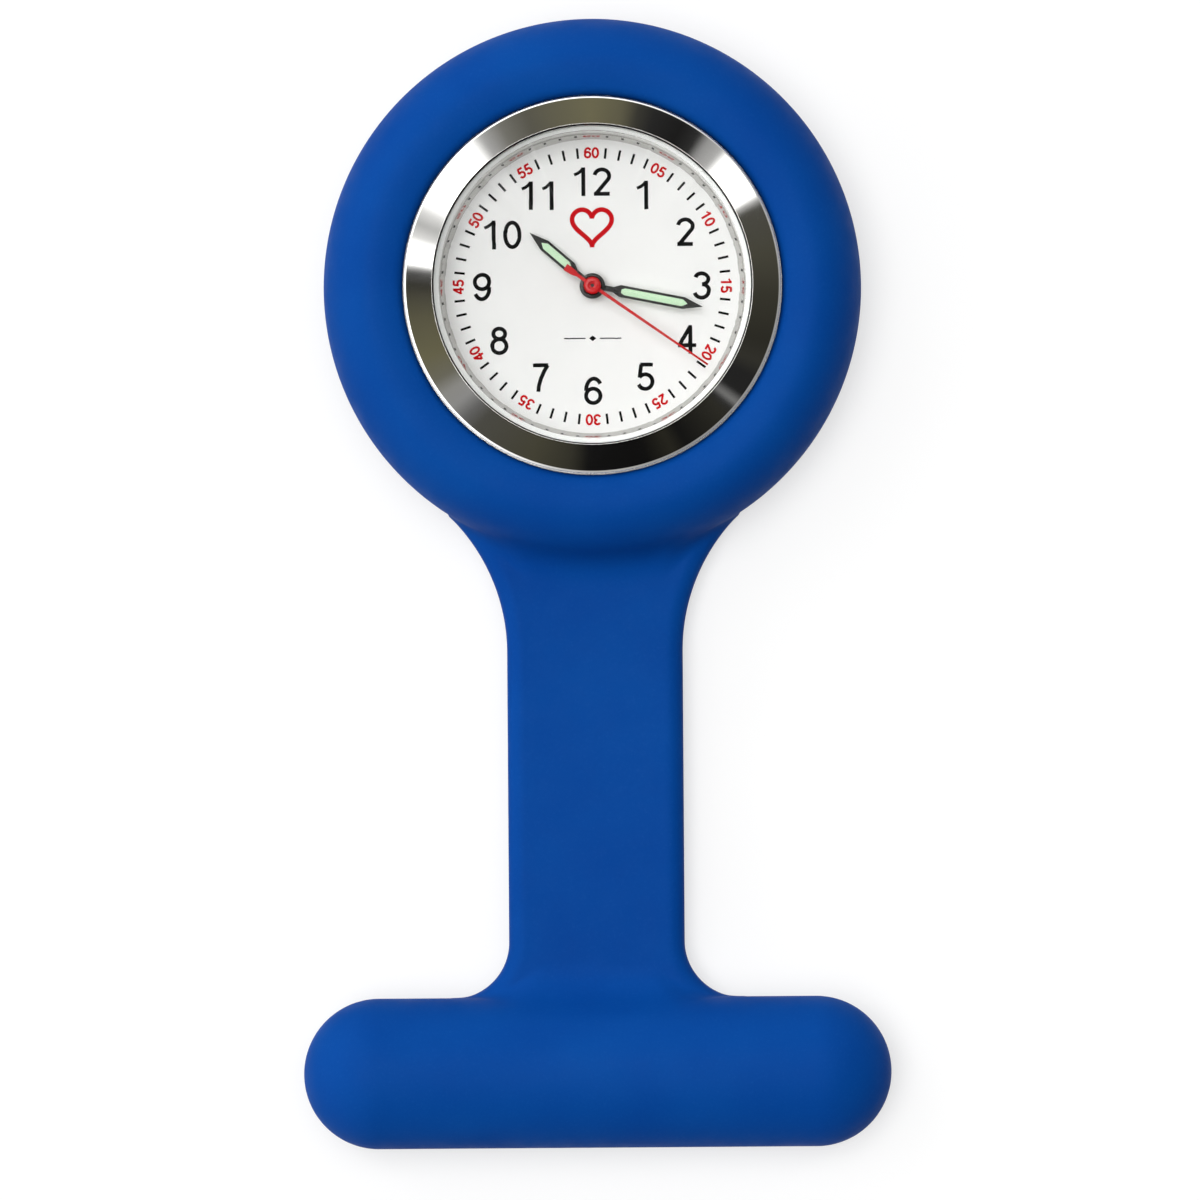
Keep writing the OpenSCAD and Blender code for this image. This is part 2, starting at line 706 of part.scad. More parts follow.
module pin_arm() {
    point_r = 0.06;
    color([0.85, 0.85, 0.87]) at_brooch() difference() {
        union() {
            hinge_rod(knuckle_d / 2, knuckle_w);
            catch_rod(pin_d / 2, pin_tip_x + pin_tip_l, hinge_x);
            translate([pin_tip_x, 0, pin_h]) rotate([0, 90, 0])
                cylinder(r1 = point_r, r2 = pin_d / 2, h = pin_tip_l);
        }
        hinge_rod(rivet_d / 2 + free_gap, 2 * knuckle_w);
    }
}

module pin_rivet() {
    head_t = 0.3;
    shank_l = knuckle_w + 2 * free_gap + 2 * ear_t;
    color([0.7, 0.7, 0.72]) at_brooch() {
        hinge_rod(rivet_d / 2, shank_l + head_t);
        for (y = [-1, 1]) translate([0, y * (shank_l + head_t) / 2, 0]) hinge_rod(rivet_head_d / 2, head_t);
    }
}

module catch_roller() {
    tab_w = 0.8;
    x0 = -catch_x - catch_l / 2 - tab_l - free_gap;
    color([0.8, 0.78, 0.72]) at_brooch() difference() {
        union() {
            catch_rod(roller_d / 2, x0, -catch_x + catch_l / 2);
            translate([x0, 0, pin_h - tab_w / 2]) cube([tab_l, tab_reach, tab_w]);
        }
        catch_rod(roller_d / 2 - roller_wall, x0 - cut, -catch_x + catch_l);
        catch_slot();
    }
}

/* ---- Case ---- */

module case_body() {
    color([0.8, 0.8, 0.82]) difference() {
        rotate_extrude() polygon([
            [flange_r + free_gap, flange_z],
            [case_r - case_bevel, flange_z],
            [case_r, flange_z + case_bevel],
            [case_r, shoulder_h - case_bevel],
            [case_r - case_bevel, shoulder_h],
            [case_bore_r + neck_w, shoulder_h],
            [case_bore_r + neck_w, shoulder_h + neck_h],
            [case_bore_r, shoulder_h + neck_h],
            [case_bore_r, snap_seat_top],
            [snap_seat_r, snap_seat_top],
            [snap_seat_r, step_z],
            [flange_r + free_gap, step_z]
        ]);
        x_rod(tube_d / 2 + press_gap, case_bore_r - cut, case_r + cut);
    }
}

module case_back() {
    color([0.82, 0.82, 0.84]) rotate_extrude() polygon([
        [0, 0],
        [boss_flat_r, 0],
        [boss_r, flange_z],
        [flange_r, flange_z],
        [flange_r, flange_top],
        [snap_r, flange_top],
        [snap_r, flange_top + snap_rim_h],
        [snap_r - snap_rim_w, flange_top + snap_rim_h],
        [snap_r - snap_rim_w, flange_top],
        [boss_r, flange_top],
        [boss_flat_r - case_back_t / 2, case_back_t],
        [0, case_back_t]
    ]);
}

module case_back_gasket() {
    color([0.12, 0.12, 0.12]) tube(flange_r, snap_r + press_gap, back_gasket_z, step_z);
}

module bezel() {
    neck_out = case_bore_r + neck_w + press_gap;
    neck_in = case_bore_r - press_gap;
    wall_top = shoulder_h + bezel_wall_h;
    color([0.86, 0.86, 0.88]) rotate_extrude() polygon([
        [bezel_r, shoulder_h],
        [bezel_r, wall_top],
        [bezel_r - bezel_bevel, wall_top + bezel_bevel],
        [opening_r + bezel_bevel / 2, bezel_h],
        [opening_r, bezel_h - bezel_bevel / 2],
        [opening_r, ledge_z + ledge_t],
        [opening_r - ledge_w, ledge_z + ledge_t],
        [opening_r - ledge_w, ledge_z],
        [neck_in, ledge_z],
        [neck_in, shoulder_h + neck_h + free_gap],
        [neck_out, shoulder_h + neck_h + free_gap],
        [neck_out, shoulder_h]
    ]);
}

module crystal() {
    color([0.8, 0.9, 0.95, 0.3]) rotate_extrude() polygon([
        [0, crystal_z],
        [crystal_r, crystal_z],
        [crystal_r, crystal_top - crystal_bevel_h],
        [crystal_r - crystal_bevel, crystal_top],
        [0, crystal_top]
    ]);
}

module crystal_gasket() {
    top = crystal_top - crystal_bevel_h - free_gap;
    color([0.92, 0.92, 0.9]) rotate_extrude() polygon([
        [gasket_in_r, ledge_z + ledge_t],
        [opening_r, ledge_z + ledge_t],
        [opening_r, top],
        [opening_r - gasket_w, top],
        [opening_r - gasket_w, crystal_z],
        [gasket_in_r, crystal_z]
    ]);
}

module crown_tube() {
    color([0.75, 0.75, 0.77]) difference() {
        x_rod(tube_d / 2, tube_in_x, tube_out_x);
        x_rod(tube_bore_d / 2, tube_in_x - cut, tube_out_x + cut);
    }
}

module crown() {
    cavity_r = crown_d / 2 - crown_skirt;
    flute_m = crown_d / (crown_flutes + tooth_rise);
    foot_bevel = 0.15;
    end_bevel = 0.3;
    color([0.84, 0.84, 0.86]) difference() {
        intersection() {
            translate([0, 0, stem_axis_h]) rotate([0, 90, 0])
                linear_extrude(crown_x + crown_l) polygon(gear_points(crown_flutes, flute_m, 0));
            translate([crown_x, 0, stem_axis_h]) rotate([0, 90, 0]) {
                cylinder(r1 = crown_d / 2 - foot_bevel, r2 = crown_d / 2, h = foot_bevel);
                translate([0, 0, foot_bevel]) cylinder(d = crown_d, h = crown_l - foot_bevel - end_bevel);
                translate([0, 0, crown_l - end_bevel])
                    cylinder(r1 = crown_d / 2, r2 = crown_d / 2 - end_bevel, h = end_bevel);
            }
        }
        x_rod(cavity_r, crown_x - cut, crown_x + crown_cavity_l);
        x_rod(stem_r + press_gap, crown_x, crown_x + crown_cavity_l + stem_screw_l + free_gap);
    }
}

module crown_seal() {
    seal_depth = 0.25;
    seal_l = 0.4;
    seal_x = crown_x + seal_depth;
    color([0.1, 0.1, 0.1]) difference() {
        x_rod(crown_d / 2 - crown_skirt - press_gap, seal_x, seal_x + seal_l);
        x_rod(tube_d / 2 + press_gap, seal_x - cut, seal_x + seal_l + cut);
    }
}

module movement_ring() {
    color([0.93, 0.93, 0.9]) difference() {
        tube(case_bore_r - pocket_gap, movement_r + free_gap, snap_seat_top, movement_top);
        x_rod(tube_d / 2 + pocket_gap, movement_r - cut, case_bore_r + cut);
    }
}

/* ---- Dial and hands ---- */

module dial() {
    color([0.96, 0.96, 0.95]) {
        tube(dial_d / 2, dial_hole_d / 2, dial_z, dial_h);
        for (p = dial_feet) translate([p.x, p.y, 0]) disc(foot_r, dial_z - foot_l, dial_z);
    }
}

module rehaut_ring() {
    color([0.95, 0.95, 0.94]) rotate_extrude() polygon([
        [rehaut_foot_r, dial_h],
        [rehaut_out_r, dial_h],
        [rehaut_out_r, rehaut_top],
        [rehaut_foot_r + rehaut_lean, rehaut_top],
        [rehaut_foot_r + rehaut_toe_w, dial_h + rehaut_toe_h]
    ]);
}

module dial_washer() {
    washer_out = 1.4;
    color([0.8, 0.7, 0.4]) tube(washer_out, hour_pipe_out + free_gap, movement_top + eps, dial_z - eps);
}

function both_sides(points) = concat(
    [for (p = points) [p.x, p.y]],
    [for (i = [len(points) - 1 : -1 : 0]) if (points[i].x > 0) [-points[i].x, points[i].y]]
);

// Outline of an hour or minute hand that points along +Y
function hand_outline(l) = both_sides([
    [neck_hand_w / 2, 0],
    [neck_hand_w / 2, hand_shoulder_l],
    [hand_w / 2, hand_shoulder_l + hand_swell_l],
    [hand_w / 2, l - hand_point_l],
    [0, l]
]);

// Outline of its luminous filling
function lume_outline(l) = let (
    half = hand_w / 2 - hand_rim,
    foot_y = hand_shoulder_l + hand_swell_l + lume_gap,
    point_y = l - hand_point_l - lume_gap
) both_sides([
    [half / 2, foot_y],
    [half, foot_y + half],
    [half, point_y],
    [0, point_y + lume_point_l]
]);

module hand(l, z, hub_in) {
    difference() {
        union() {
            translate([0, 0, z]) linear_extrude(hand_t) polygon(hand_outline(l));
            disc(hub_d / 2, z, z + hand_t);
        }
        translate([0, 0, z - cut]) linear_extrude(hand_t + 2 * cut) polygon(lume_outline(l));
        disc(hub_in, z - cut, z + cut);
    }
}

module lume(l, z) {
    translate([0, 0, z]) linear_extrude(hand_t) polygon(lume_outline(l));
}

module hour_hand() {
    color([0.16, 0.15, 0.14]) rotate([0, 0, -hour_a]) hand(hour_l, hour_z, hour_pipe_out);
}

module hour_lume() {
    color([0.82, 0.92, 0.8]) rotate([0, 0, -hour_a]) lume(hour_l, hour_z);
}

module minute_hand() {
    color([0.16, 0.15, 0.14]) rotate([0, 0, -minute_a]) hand(minute_l, minute_z, minute_pipe_out);
}

module minute_lume() {
    color([0.82, 0.92, 0.8]) rotate([0, 0, -minute_a]) lume(minute_l, minute_z);
}

module seconds_hand() {
    half = seconds_w / 2;
    tip = 0.07;
    hub_rise = 0.12;
    blade = both_sides([[half, 0], [tip, seconds_l]]);
    tail = both_sides([
        [half, 0],
        [half, -seconds_tail_l * 0.55],
        [seconds_tail_w * 0.42, -seconds_tail_l * 0.7],
        [seconds_tail_w / 2, -seconds_tail_l]
    ]);
    color([0.75, 0.1, 0.12]) rotate([0, 0, -seconds_a]) difference() {
        union() {
            translate([0, 0, seconds_z]) linear_extrude(hand_t) polygon(blade);
            translate([0, 0, seconds_z]) linear_extrude(hand_t) polygon(tail);
            disc(seconds_hub_d / 2, seconds_z, seconds_z + hand_t + hub_rise);
        }
        disc(seconds_arbor_r, seconds_z - cut, seconds_z + cut);
    }
}

/* ---- Movement ---- */

module battery_well(r, z0, z1) {
    translate([battery_pos.x, battery_pos.y, 0]) disc(r, z0, z1);
}

module at(p) {
    translate([p.x, p.y, 0]) children();
}

// Room for a wheel of the motion works
module recess(teeth, z0, z1) {
    disc(motion_m * (teeth / 2 + 1) + wheel_room, z0, z1);
}

module main_plate() {
    foot_hole_z = dial_z - foot_l - pocket_gap;
    coil_box = [coil_l + 2 * (core_over + coil_room), coil_d + coil_room];
    motor_y0 = rotor_y - stator_in - wheel_room;
    motor_y1 = coil_y + core_w / 2 + 2 * pocket_gap;
    keyless_l = lever_pivot.x + keyless_wall - keyless_x;
    keyless_w = lever_pivot.y - yoke_pivot.y + 2 * keyless_wall;
    color([0.2, 0.2, 0.22]) {
        difference() {
            disc(movement_r, bridge_top, movement_top);
            // room for the going train and the motor, open to the back
            disc(centre_m * (centre_teeth / 2 + 1) + wheel_room, bridge_top - cut, web_z);
            at(third_pos) disc(third_m * (third_teeth / 2 + 1) + wheel_room, bridge_top - cut, web_z);
            at(fifth_pos) disc(fifth_m * (fifth_teeth / 2 + 1) + wheel_room, bridge_top - cut, web_z);
            at(rotor_pos) disc(magnet_d / 2 + 2 * magnet_room, bridge_top - cut, web_z);
            translate([-coil_box.x / 2, motor_y0, bridge_top - cut])
                cube([coil_box.x, motor_y1 - motor_y0, core_z + lamination_t + cut - bridge_top]);
            translate([-(coil_l + coil_room) / 2, coil_y - coil_box.y / 2, bridge_top - cut])
                cube([coil_l + coil_room, coil_box.y, core_z + coil_d / 2 + lamination_t + cut - bridge_top]);
            // battery, quartz can and circuit chip
            battery_well(
                battery_d / 2 + pocket_gap,
                bridge_top - cut,
                movement_z + battery_t + contact_t + free_gap
            );
            translate([
                quartz_pos.x - quartz_l / 2 - quartz_room,
                quartz_pos.y - quartz_d / 2 - quartz_room,
                bridge_top - cut
            ])
                cube([
                    quartz_l + 2 * quartz_room,
                    quartz_d + 2 * quartz_room,
                    cut + quartz_lift + quartz_d + quartz_room
                ]);
            translate([ic_pos.x - ic_w / 2 - pocket_gap, ic_pos.y - ic_w / 2 - pocket_gap, bridge_top - cut])
                cube([ic_w + 2 * pocket_gap, ic_w + 2 * pocket_gap, cut + ic_t + pocket_gap]);
            // motion works and keyless works, open to the dial
            recess(hour_teeth, web_top, movement_top + cut);
            at(minute_pos) recess(minute_teeth, web_top, movement_top + cut);
            at(setting_pos) recess(setting_teeth, web_top, movement_top + cut);
            translate([keyless_x, yoke_pivot.y - keyless_wall, web_top])
                cube([keyless_l, keyless_w, cut + movement_top - web_top]);
            translate([keyless_x, -clutch_r - wheel_room, bridge_top - cut])
                cube([
                    stem_groove_x + crown_travel + groove_w - keyless_x,
                    2 * (clutch_r + wheel_room),
                    movement_top
                ]);
            x_rod(stem_r + pocket_gap, stem_tip_x, movement_r + cut);
            // bearings, dial feet and screws
            disc(minute_pipe_out + free_gap, web_z - cut, web_top + cut);
            for (p = [third_pos, fifth_pos, rotor_pos]) at(p) disc(hole_r, web_z - cut, web_top + cut);
            for (p = dial_feet) at(p) disc(foot_r + press_gap, foot_hole_z, movement_top + cut);
            for (p = bridge_screw_spots) at(p)
                disc(screw_shank_r + press_gap, bridge_top - cut, bridge_top + screw_l + free_gap);
        }
        at(minute_pos) disc(post_r, web_top, hour_wheel_z + wheel_t);
        at(setting_pos) disc(post_r, web_top, motion_z + 2 * wheel_t);
        at(lever_pivot) disc(post_r, web_top, lever_z + lever_t + free_gap);
        at(yoke_pivot) disc(post_r, web_top, lever_z + lever_t + free_gap);
    }
}

// Screw lug with the narrower arm that joins it to the bridge's middle
module bridge_lug(p, r, z0, z1) {
    half = r * lug_arm_share;
    at(p) disc(r, z0, z1);
    rotate([0, 0, atan2(p.y, p.x)]) translate([0, -half, z0]) cube([norm(p), 2 * half, z1 - z0]);
}

module train_bridge() {
    bridge_middle_r = 2.3;
    bridge_foot_r = 1.4;
    color([0.83, 0.79, 0.66]) difference() {
        union() {
            disc(bridge_middle_r, bridge_z, bridge_top);
            at(third_pos) disc(bridge_foot_r, bridge_z, bridge_top);
            bridge_lug(rotor_pos, lug_r, bridge_z, bridge_top);
            for (p = bridge_screw_spots) bridge_lug(p, lug_r, bridge_z, bridge_top);
        }
        battery_well(battery_d / 2 + pocket_gap, bridge_z - cut, bridge_top + cut);
        disc(hole_r, bridge_z - cut, bridge_top + cut);
        for (p = [third_pos, fifth_pos, rotor_pos]) at(p) disc(hole_r, bridge_z - cut, bridge_top + cut);
        for (p = bridge_screw_spots) at(p) disc(screw_shank_r + press_gap, bridge_z - cut, bridge_top + cut);
    }
}

module bridge_screws() {
    head_t = 0.3;
    slot_w = 0.2;
    color([0.6, 0.6, 0.65]) for (p = bridge_screw_spots) at(p) difference() {
        union() {
            disc(screw_shank_r, bridge_z - head_t / 2, bridge_top + screw_l);
            disc(screw_head_r, bridge_z - head_t, bridge_z);
        }
        translate([-screw_head_r - cut, -slot_w / 2, bridge_z - head_t - cut])
            cube([2 * screw_head_r + 2 * cut, slot_w, cut + head_t / 2]);
    }
}

module arbor(z0, z1) {
    disc(arbor_r, z0, z1);
}

// Pinion whose leaves run from just below the height z to just above the wheel at wheel_z that they mesh with
module pinion(leaves, m, phase, z, wheel_z) {
    gear(leaves, m, phase, z - leaf_over, wheel_z + wheel_t + leaf_over);
}

module rotor() {
    color([0.35, 0.35, 0.38]) at(rotor_pos) {
        disc(magnet_d / 2, magnet_z, magnet_z + magnet_l);
        arbor(pivot_z0, pivot_z1);
        pinion(rotor_leaves, fifth_m, rotor_pinion_ph, fifth_wheel_z, fifth_wheel_z);
    }
}

module fifth_wheel() {
    color([0.9, 0.75, 0.4]) at(fifth_pos) {
        gear(fifth_teeth, fifth_m, fifth_wheel_ph, fifth_wheel_z, fifth_wheel_z + wheel_t);
        pinion(fifth_leaves, seconds_m, fifth_pinion_ph, seconds_wheel_z, seconds_wheel_z);
        arbor(pivot_z0, pivot_z1);
    }
}

module seconds_wheel() {
    color([0.9, 0.75, 0.4]) {
        gear(seconds_teeth, seconds_m, seconds_wheel_ph, seconds_wheel_z, seconds_wheel_z + wheel_t);
        pinion(seconds_leaves, third_m, seconds_pinion_ph, seconds_wheel_z + leaf_over, third_wheel_z);
        arbor(pivot_z0, seconds_z + hand_t);
    }
}

module third_wheel() {
    color([0.9, 0.75, 0.4]) at(third_pos) {
        gear(third_teeth, third_m, third_wheel_ph, third_wheel_z, third_wheel_z + wheel_t);
        pinion(third_leaves, centre_m, third_pinion_ph, third_wheel_z + leaf_over, centre_wheel_z);
        arbor(pivot_z0, pivot_z1);
    }
}

module centre_wheel() {
    color([0.9, 0.75, 0.4]) difference() {
        union() {
            gear(centre_teeth, centre_m, centre_wheel_ph, centre_wheel_z, centre_wheel_z + wheel_t);
            disc(minute_pipe_out, centre_wheel_z, minute_z + hand_t);
            gear(
                cannon_leaves, motion_m, cannon_ph,
                motion_z - press_gap, motion_z + wheel_t + leaf_over - press_gap
            );
        }
        disc(minute_pipe_in, centre_wheel_z - cut, minute_z + cut);
    }
}

module minute_wheel() {
    color([0.9, 0.75, 0.4]) at(minute_pos) difference() {
        union() {
            gear(minute_teeth, motion_m, minute_wheel_ph, motion_z, motion_z + wheel_t);
            gear(minute_leaves, motion_m, minute_pinion_ph, motion_z, hour_wheel_z + wheel_t);
        }
        disc(post_r + free_gap, motion_z - cut, hour_wheel_z + cut);
    }
}

module hour_wheel() {
    color([0.9, 0.75, 0.4]) difference() {
        union() {
            gear(hour_teeth, motion_m, hour_wheel_ph, hour_wheel_z, hour_wheel_z + wheel_t);
            disc(hour_pipe_out, hour_wheel_z, hour_z + hand_t);
        }
        disc(hour_pipe_in, hour_wheel_z - cut, hour_z + cut);
    }
}

module setting_wheel() {
    color([0.9, 0.75, 0.4]) at(setting_pos)
        gear(setting_teeth, motion_m, setting_wheel_ph, motion_z, motion_z + wheel_t, post_r + free_gap);
}

module stator() {
    span = coil_l / 2 + core_over;
    y0 = rotor_y - stator_in;
    y1 = rotor_y + stator_out;
    color([0.6, 0.6, 0.62]) difference() {
        union() {
            translate([-span, y0, stator_z]) cube([2 * span, y1 - y0, lamination_t]);
            for (side = [-1, 1]) translate([side * (span - core_w / 2) - core_w / 2, y0, stator_z])
                cube([core_w, coil_y + core_w / 2 - y0, lamination_t]);
        }
        at(rotor_pos) disc(magnet_d / 2 + magnet_room, stator_z - cut, stator_z + cut);
        at(bridge_screw_spots[2]) disc(screw_head_r, stator_z - cut, stator_z + cut);
    }
}

module coil_core() {
    color([0.62, 0.62, 0.64]) translate([-coil_l / 2 - core_over, coil_y - core_w / 2, core_z])
        cube([coil_l + 2 * core_over, core_w, lamination_t]);
}

module coil_winding() {
    mid_z = core_z + lamination_t / 2;
    color([0.72, 0.38, 0.2]) difference() {
        translate([-coil_l / 2, coil_y, mid_z]) rotate([0, 90, 0]) cylinder(d = coil_d, h = coil_l);
        translate([-coil_l, coil_y - core_w / 2 - press_gap, core_z - press_gap])
            cube([2 * coil_l, core_w + 2 * press_gap, lamination_t + 2 * press_gap]);
    }
}

module circuit_board() {
    board_r = movement_r - board_margin;
    color([0.1, 0.4, 0.25]) difference() {
        disc(board_r, bridge_top - board_t, bridge_top);
        translate([-movement_r, board_y, 0]) cube([2 * movement_r, 2 * movement_r, movement_top]);
        battery_well(battery_d / 2 + pocket_gap, -cut, movement_top);
        bridge_lug(bridge_screw_spots[1], lug_r + pocket_gap, -cut, movement_top);
    }
}

module ic_chip() {
    color([0.08, 0.08, 0.09]) translate([ic_pos.x - ic_w / 2, ic_pos.y - ic_w / 2, bridge_top])
        cube([ic_w, ic_w, ic_t]);
}

module quartz_crystal() {
    color([0.75, 0.75, 0.78])
        translate([quartz_pos.x - quartz_l / 2, quartz_pos.y, bridge_top + quartz_lift + quartz_d / 2])
        rotate([0, 90, 0]) cylinder(d = quartz_d, h = quartz_l);
}

module battery() {
    rim_w = 0.5;
    rim_h = 0.3;
    color([0.8, 0.8, 0.82]) at(battery_pos) {
        disc(battery_d / 2, movement_z, movement_z + battery_t - rim_h);
        disc(battery_d / 2 - rim_w, movement_z + battery_t - rim_h, movement_z + battery_t);
    }
}

module battery_strap() {
    strap_w = 2.0;
    strap_t = 0.2;
    margin = 0.2;
    reach = battery_d / 2 - margin;
    color([0.8, 0.78, 0.7]) at(battery_pos) rotate([0, 0, battery_a + 90])
        translate([-reach, -strap_w / 2, movement_z - strap_t]) cube([2 * reach, strap_w, strap_t]);
}

module negative_contact() {
    color([0.85, 0.7, 0.35]) at(battery_pos)
        disc(contact_r, movement_z + battery_t, movement_z + battery_t + contact_t);
}

module winding_stem() {
    pilot_r = 0.35;
    square_over = 0.3;
    square_x0 = stem_tip_x + pilot_l;
    square_x1 = clutch_x + clutch_l + square_over;
    stem_end_x = crown_x + crown_cavity_l + stem_screw_l;
    groove_x0 = stem_groove_x - groove_w / 2;
    groove_x1 = stem_groove_x + groove_w / 2;
    color([0.7, 0.7, 0.74]) {
        x_rod(pilot_r, stem_tip_x, square_x0 + eps);
        translate([square_x0, -square_w / 2, stem_axis_h - square_w / 2])
            cube([square_x1 - square_x0, square_w, square_w]);
        x_rod(stem_r, square_x1, groove_x0);
        x_rod(stem_groove_r, groove_x0 - eps, groove_x1 + eps);
        x_rod(stem_r, groove_x1, stem_end_x);
    }
}

module clutch_wheel() {
    hub_l = 0.35;
    clutch_teeth = 14;
    clutch_m = 2 * clutch_r / (clutch_teeth + tooth_rise);
    hole_w = square_w + 2 * free_gap;
    color([0.62, 0.62, 0.66]) difference() {
        union() {
            translate([clutch_x, 0, stem_axis_h]) rotate([0, 90, 0])
                linear_extrude(hub_l) polygon(gear_points(clutch_teeth, clutch_m, 0));
            x_rod(clutch_groove_r, clutch_x, clutch_x + clutch_l);
            translate([clutch_x + clutch_l - hub_l, 0, stem_axis_h]) rotate([0, 90, 0])
                linear_extrude(hub_l) polygon(gear_points(clutch_teeth, clutch_m, 0));
        }
        translate([clutch_x - cut, -hole_w / 2, stem_axis_h - hole_w / 2])
            cube([clutch_l + 2 * cut, hole_w, hole_w]);
    }
}

// Flat lever from its pivot to a nose at the given place, with a pin down into a groove
module lever(pivot, nose, pin_bottom, tail_a, tail_l) {
    boss_r = 0.5;
    arm_w = 0.5;
    reach = nose - pivot;
    difference() {
        union() {
            at(pivot) disc(boss_r, lever_z, lever_z + lever_t);
            at(pivot) rotate([0, 0, atan2(reach.y, reach.x)])
                translate([0, -arm_w / 2, lever_z]) cube([norm(reach), arm_w, lever_t]);
            at(pivot) rotate([0, 0, tail_a])
                translate([0, -arm_w / 2, lever_z]) cube([tail_l, arm_w, lever_t]);
            at(nose) disc(arm_w / 2, lever_z, lever_z + lever_t);
            at(nose) disc(nose_r, pin_bottom, lever_z + lever_t);
        }
        at(pivot) disc(post_r + free_gap, lever_z - cut, lever_z + cut);
    }
}

module setting_lever() {
    nose = [stem_groove_x, 0];
    pin_z = stem_axis_h + stem_groove_r + free_gap;
    color([0.66, 0.66, 0.7]) lever(lever_pivot, nose, pin_z, 180, lever_tail_l);
}

module yoke() {
    nose = [clutch_x + clutch_l / 2, 0];
    pin_z = stem_axis_h + clutch_groove_r + free_gap;
    color([0.66, 0.66, 0.7]) lever(yoke_pivot, nose, pin_z, 0, lever_tail_l);
}

silicone_holder();
brooch_bar();
pin_arm();
pin_rivet();
catch_roller();
case_body();
case_back();
case_back_gasket();
bezel();
crystal();
crystal_gasket();
crown_tube();
crown();
crown_seal();
movement_ring();
dial();
rehaut_ring();
dial_washer();
hour_hand();
minute_hand();
seconds_hand();
hour_lume();
minute_lume();
main_plate();
train_bridge();
bridge_screws();
rotor();
stator();
coil_core();
coil_winding();
circuit_board();
ic_chip();
quartz_crystal();
battery();
battery_strap();
negative_contact();
fifth_wheel();
seconds_wheel();
third_wheel();
centre_wheel();
minute_wheel();
hour_wheel();
setting_wheel();
winding_stem();
clutch_wheel();
setting_lever();
yoke();
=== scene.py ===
"""Looks of the nurse's fob watch, round its CAD parts. Sizes are in millimetres until a mesh is made."""
import functools
import json
import math

import bpy
import numpy as np
from mathutils import Matrix, Vector


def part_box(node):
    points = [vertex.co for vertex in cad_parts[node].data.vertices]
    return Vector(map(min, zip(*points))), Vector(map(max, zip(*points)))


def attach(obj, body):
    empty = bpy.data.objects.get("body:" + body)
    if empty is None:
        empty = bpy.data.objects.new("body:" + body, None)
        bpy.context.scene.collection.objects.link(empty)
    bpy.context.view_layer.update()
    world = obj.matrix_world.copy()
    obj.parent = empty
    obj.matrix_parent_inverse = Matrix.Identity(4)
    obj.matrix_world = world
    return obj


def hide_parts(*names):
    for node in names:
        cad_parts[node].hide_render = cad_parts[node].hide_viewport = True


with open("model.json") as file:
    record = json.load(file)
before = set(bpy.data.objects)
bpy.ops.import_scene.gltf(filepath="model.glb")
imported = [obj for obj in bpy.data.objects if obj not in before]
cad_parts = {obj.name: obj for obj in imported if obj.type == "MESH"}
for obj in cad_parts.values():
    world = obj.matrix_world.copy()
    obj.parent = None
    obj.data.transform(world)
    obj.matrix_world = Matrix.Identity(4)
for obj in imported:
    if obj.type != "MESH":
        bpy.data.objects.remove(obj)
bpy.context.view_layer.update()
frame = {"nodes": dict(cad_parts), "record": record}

MM = 0.001


# ---------------- sizes taken from the frame

def low(node):
    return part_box(node)[0] / MM


def high(node):
    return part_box(node)[1] / MM


ring_r = high("silicone_holder").y
ring_h = high("silicone_holder").z
tbar_half = high("silicone_holder").x
tbar_y = (low("brooch_bar").y + high("brooch_bar").y) / 2
tbar_half_w = tbar_y - low("silicone_holder").y
case_r = high("case_body").x
shoulder_z = low("bezel").z
bezel_r = high("bezel").x
bezel_top = high("bezel").z
crystal_r = high("crystal").x
crystal_z = low("crystal").z
crystal_top = high("crystal").z
gasket_r = high("crystal_gasket").x
gasket_z = low("crystal_gasket").z
gasket_top = high("crystal_gasket").z
CRYSTAL_BEVEL = 0.38     # width of the crystal's ground bevel
CRYSTAL_BEVEL_H = 0.22
rehaut_r = high("rehaut_ring").x
rehaut_top = high("rehaut_ring").z
dial_r = high("dial").x
dial_z = high("dial").z
back_flange_r = high("case_back").x
brooch_low = low("brooch_bar")
brooch_high = high("brooch_bar")
plate_half = (brooch_high.y - brooch_low.y) / 2


# ---------------- mesh tools

def mesh_object(name, verts, faces, material, smooth=True, normals=None):
    """A mesh object from points in millimetres."""
    mesh = bpy.data.meshes.new(name)
    mesh.from_pydata((np.asarray(verts, float) * MM).tolist(), [], [list(f) for f in faces])
    mesh.update()
    if smooth:
        mesh.shade_smooth()
    if normals is not None:
        mesh.normals_split_custom_set_from_vertices(np.asarray(normals, float).tolist())
    obj = bpy.data.objects.new(name, mesh)
    bpy.context.scene.collection.objects.link(obj)
    obj.data.materials.append(material)
    return obj


def place(obj, body, slot, *nodes):
    """Says which body a piece moves with, and which nodes it stands for; slot, what it is made of, is not
    used.
    """
    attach(obj, body)
    if nodes:
        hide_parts(*nodes)


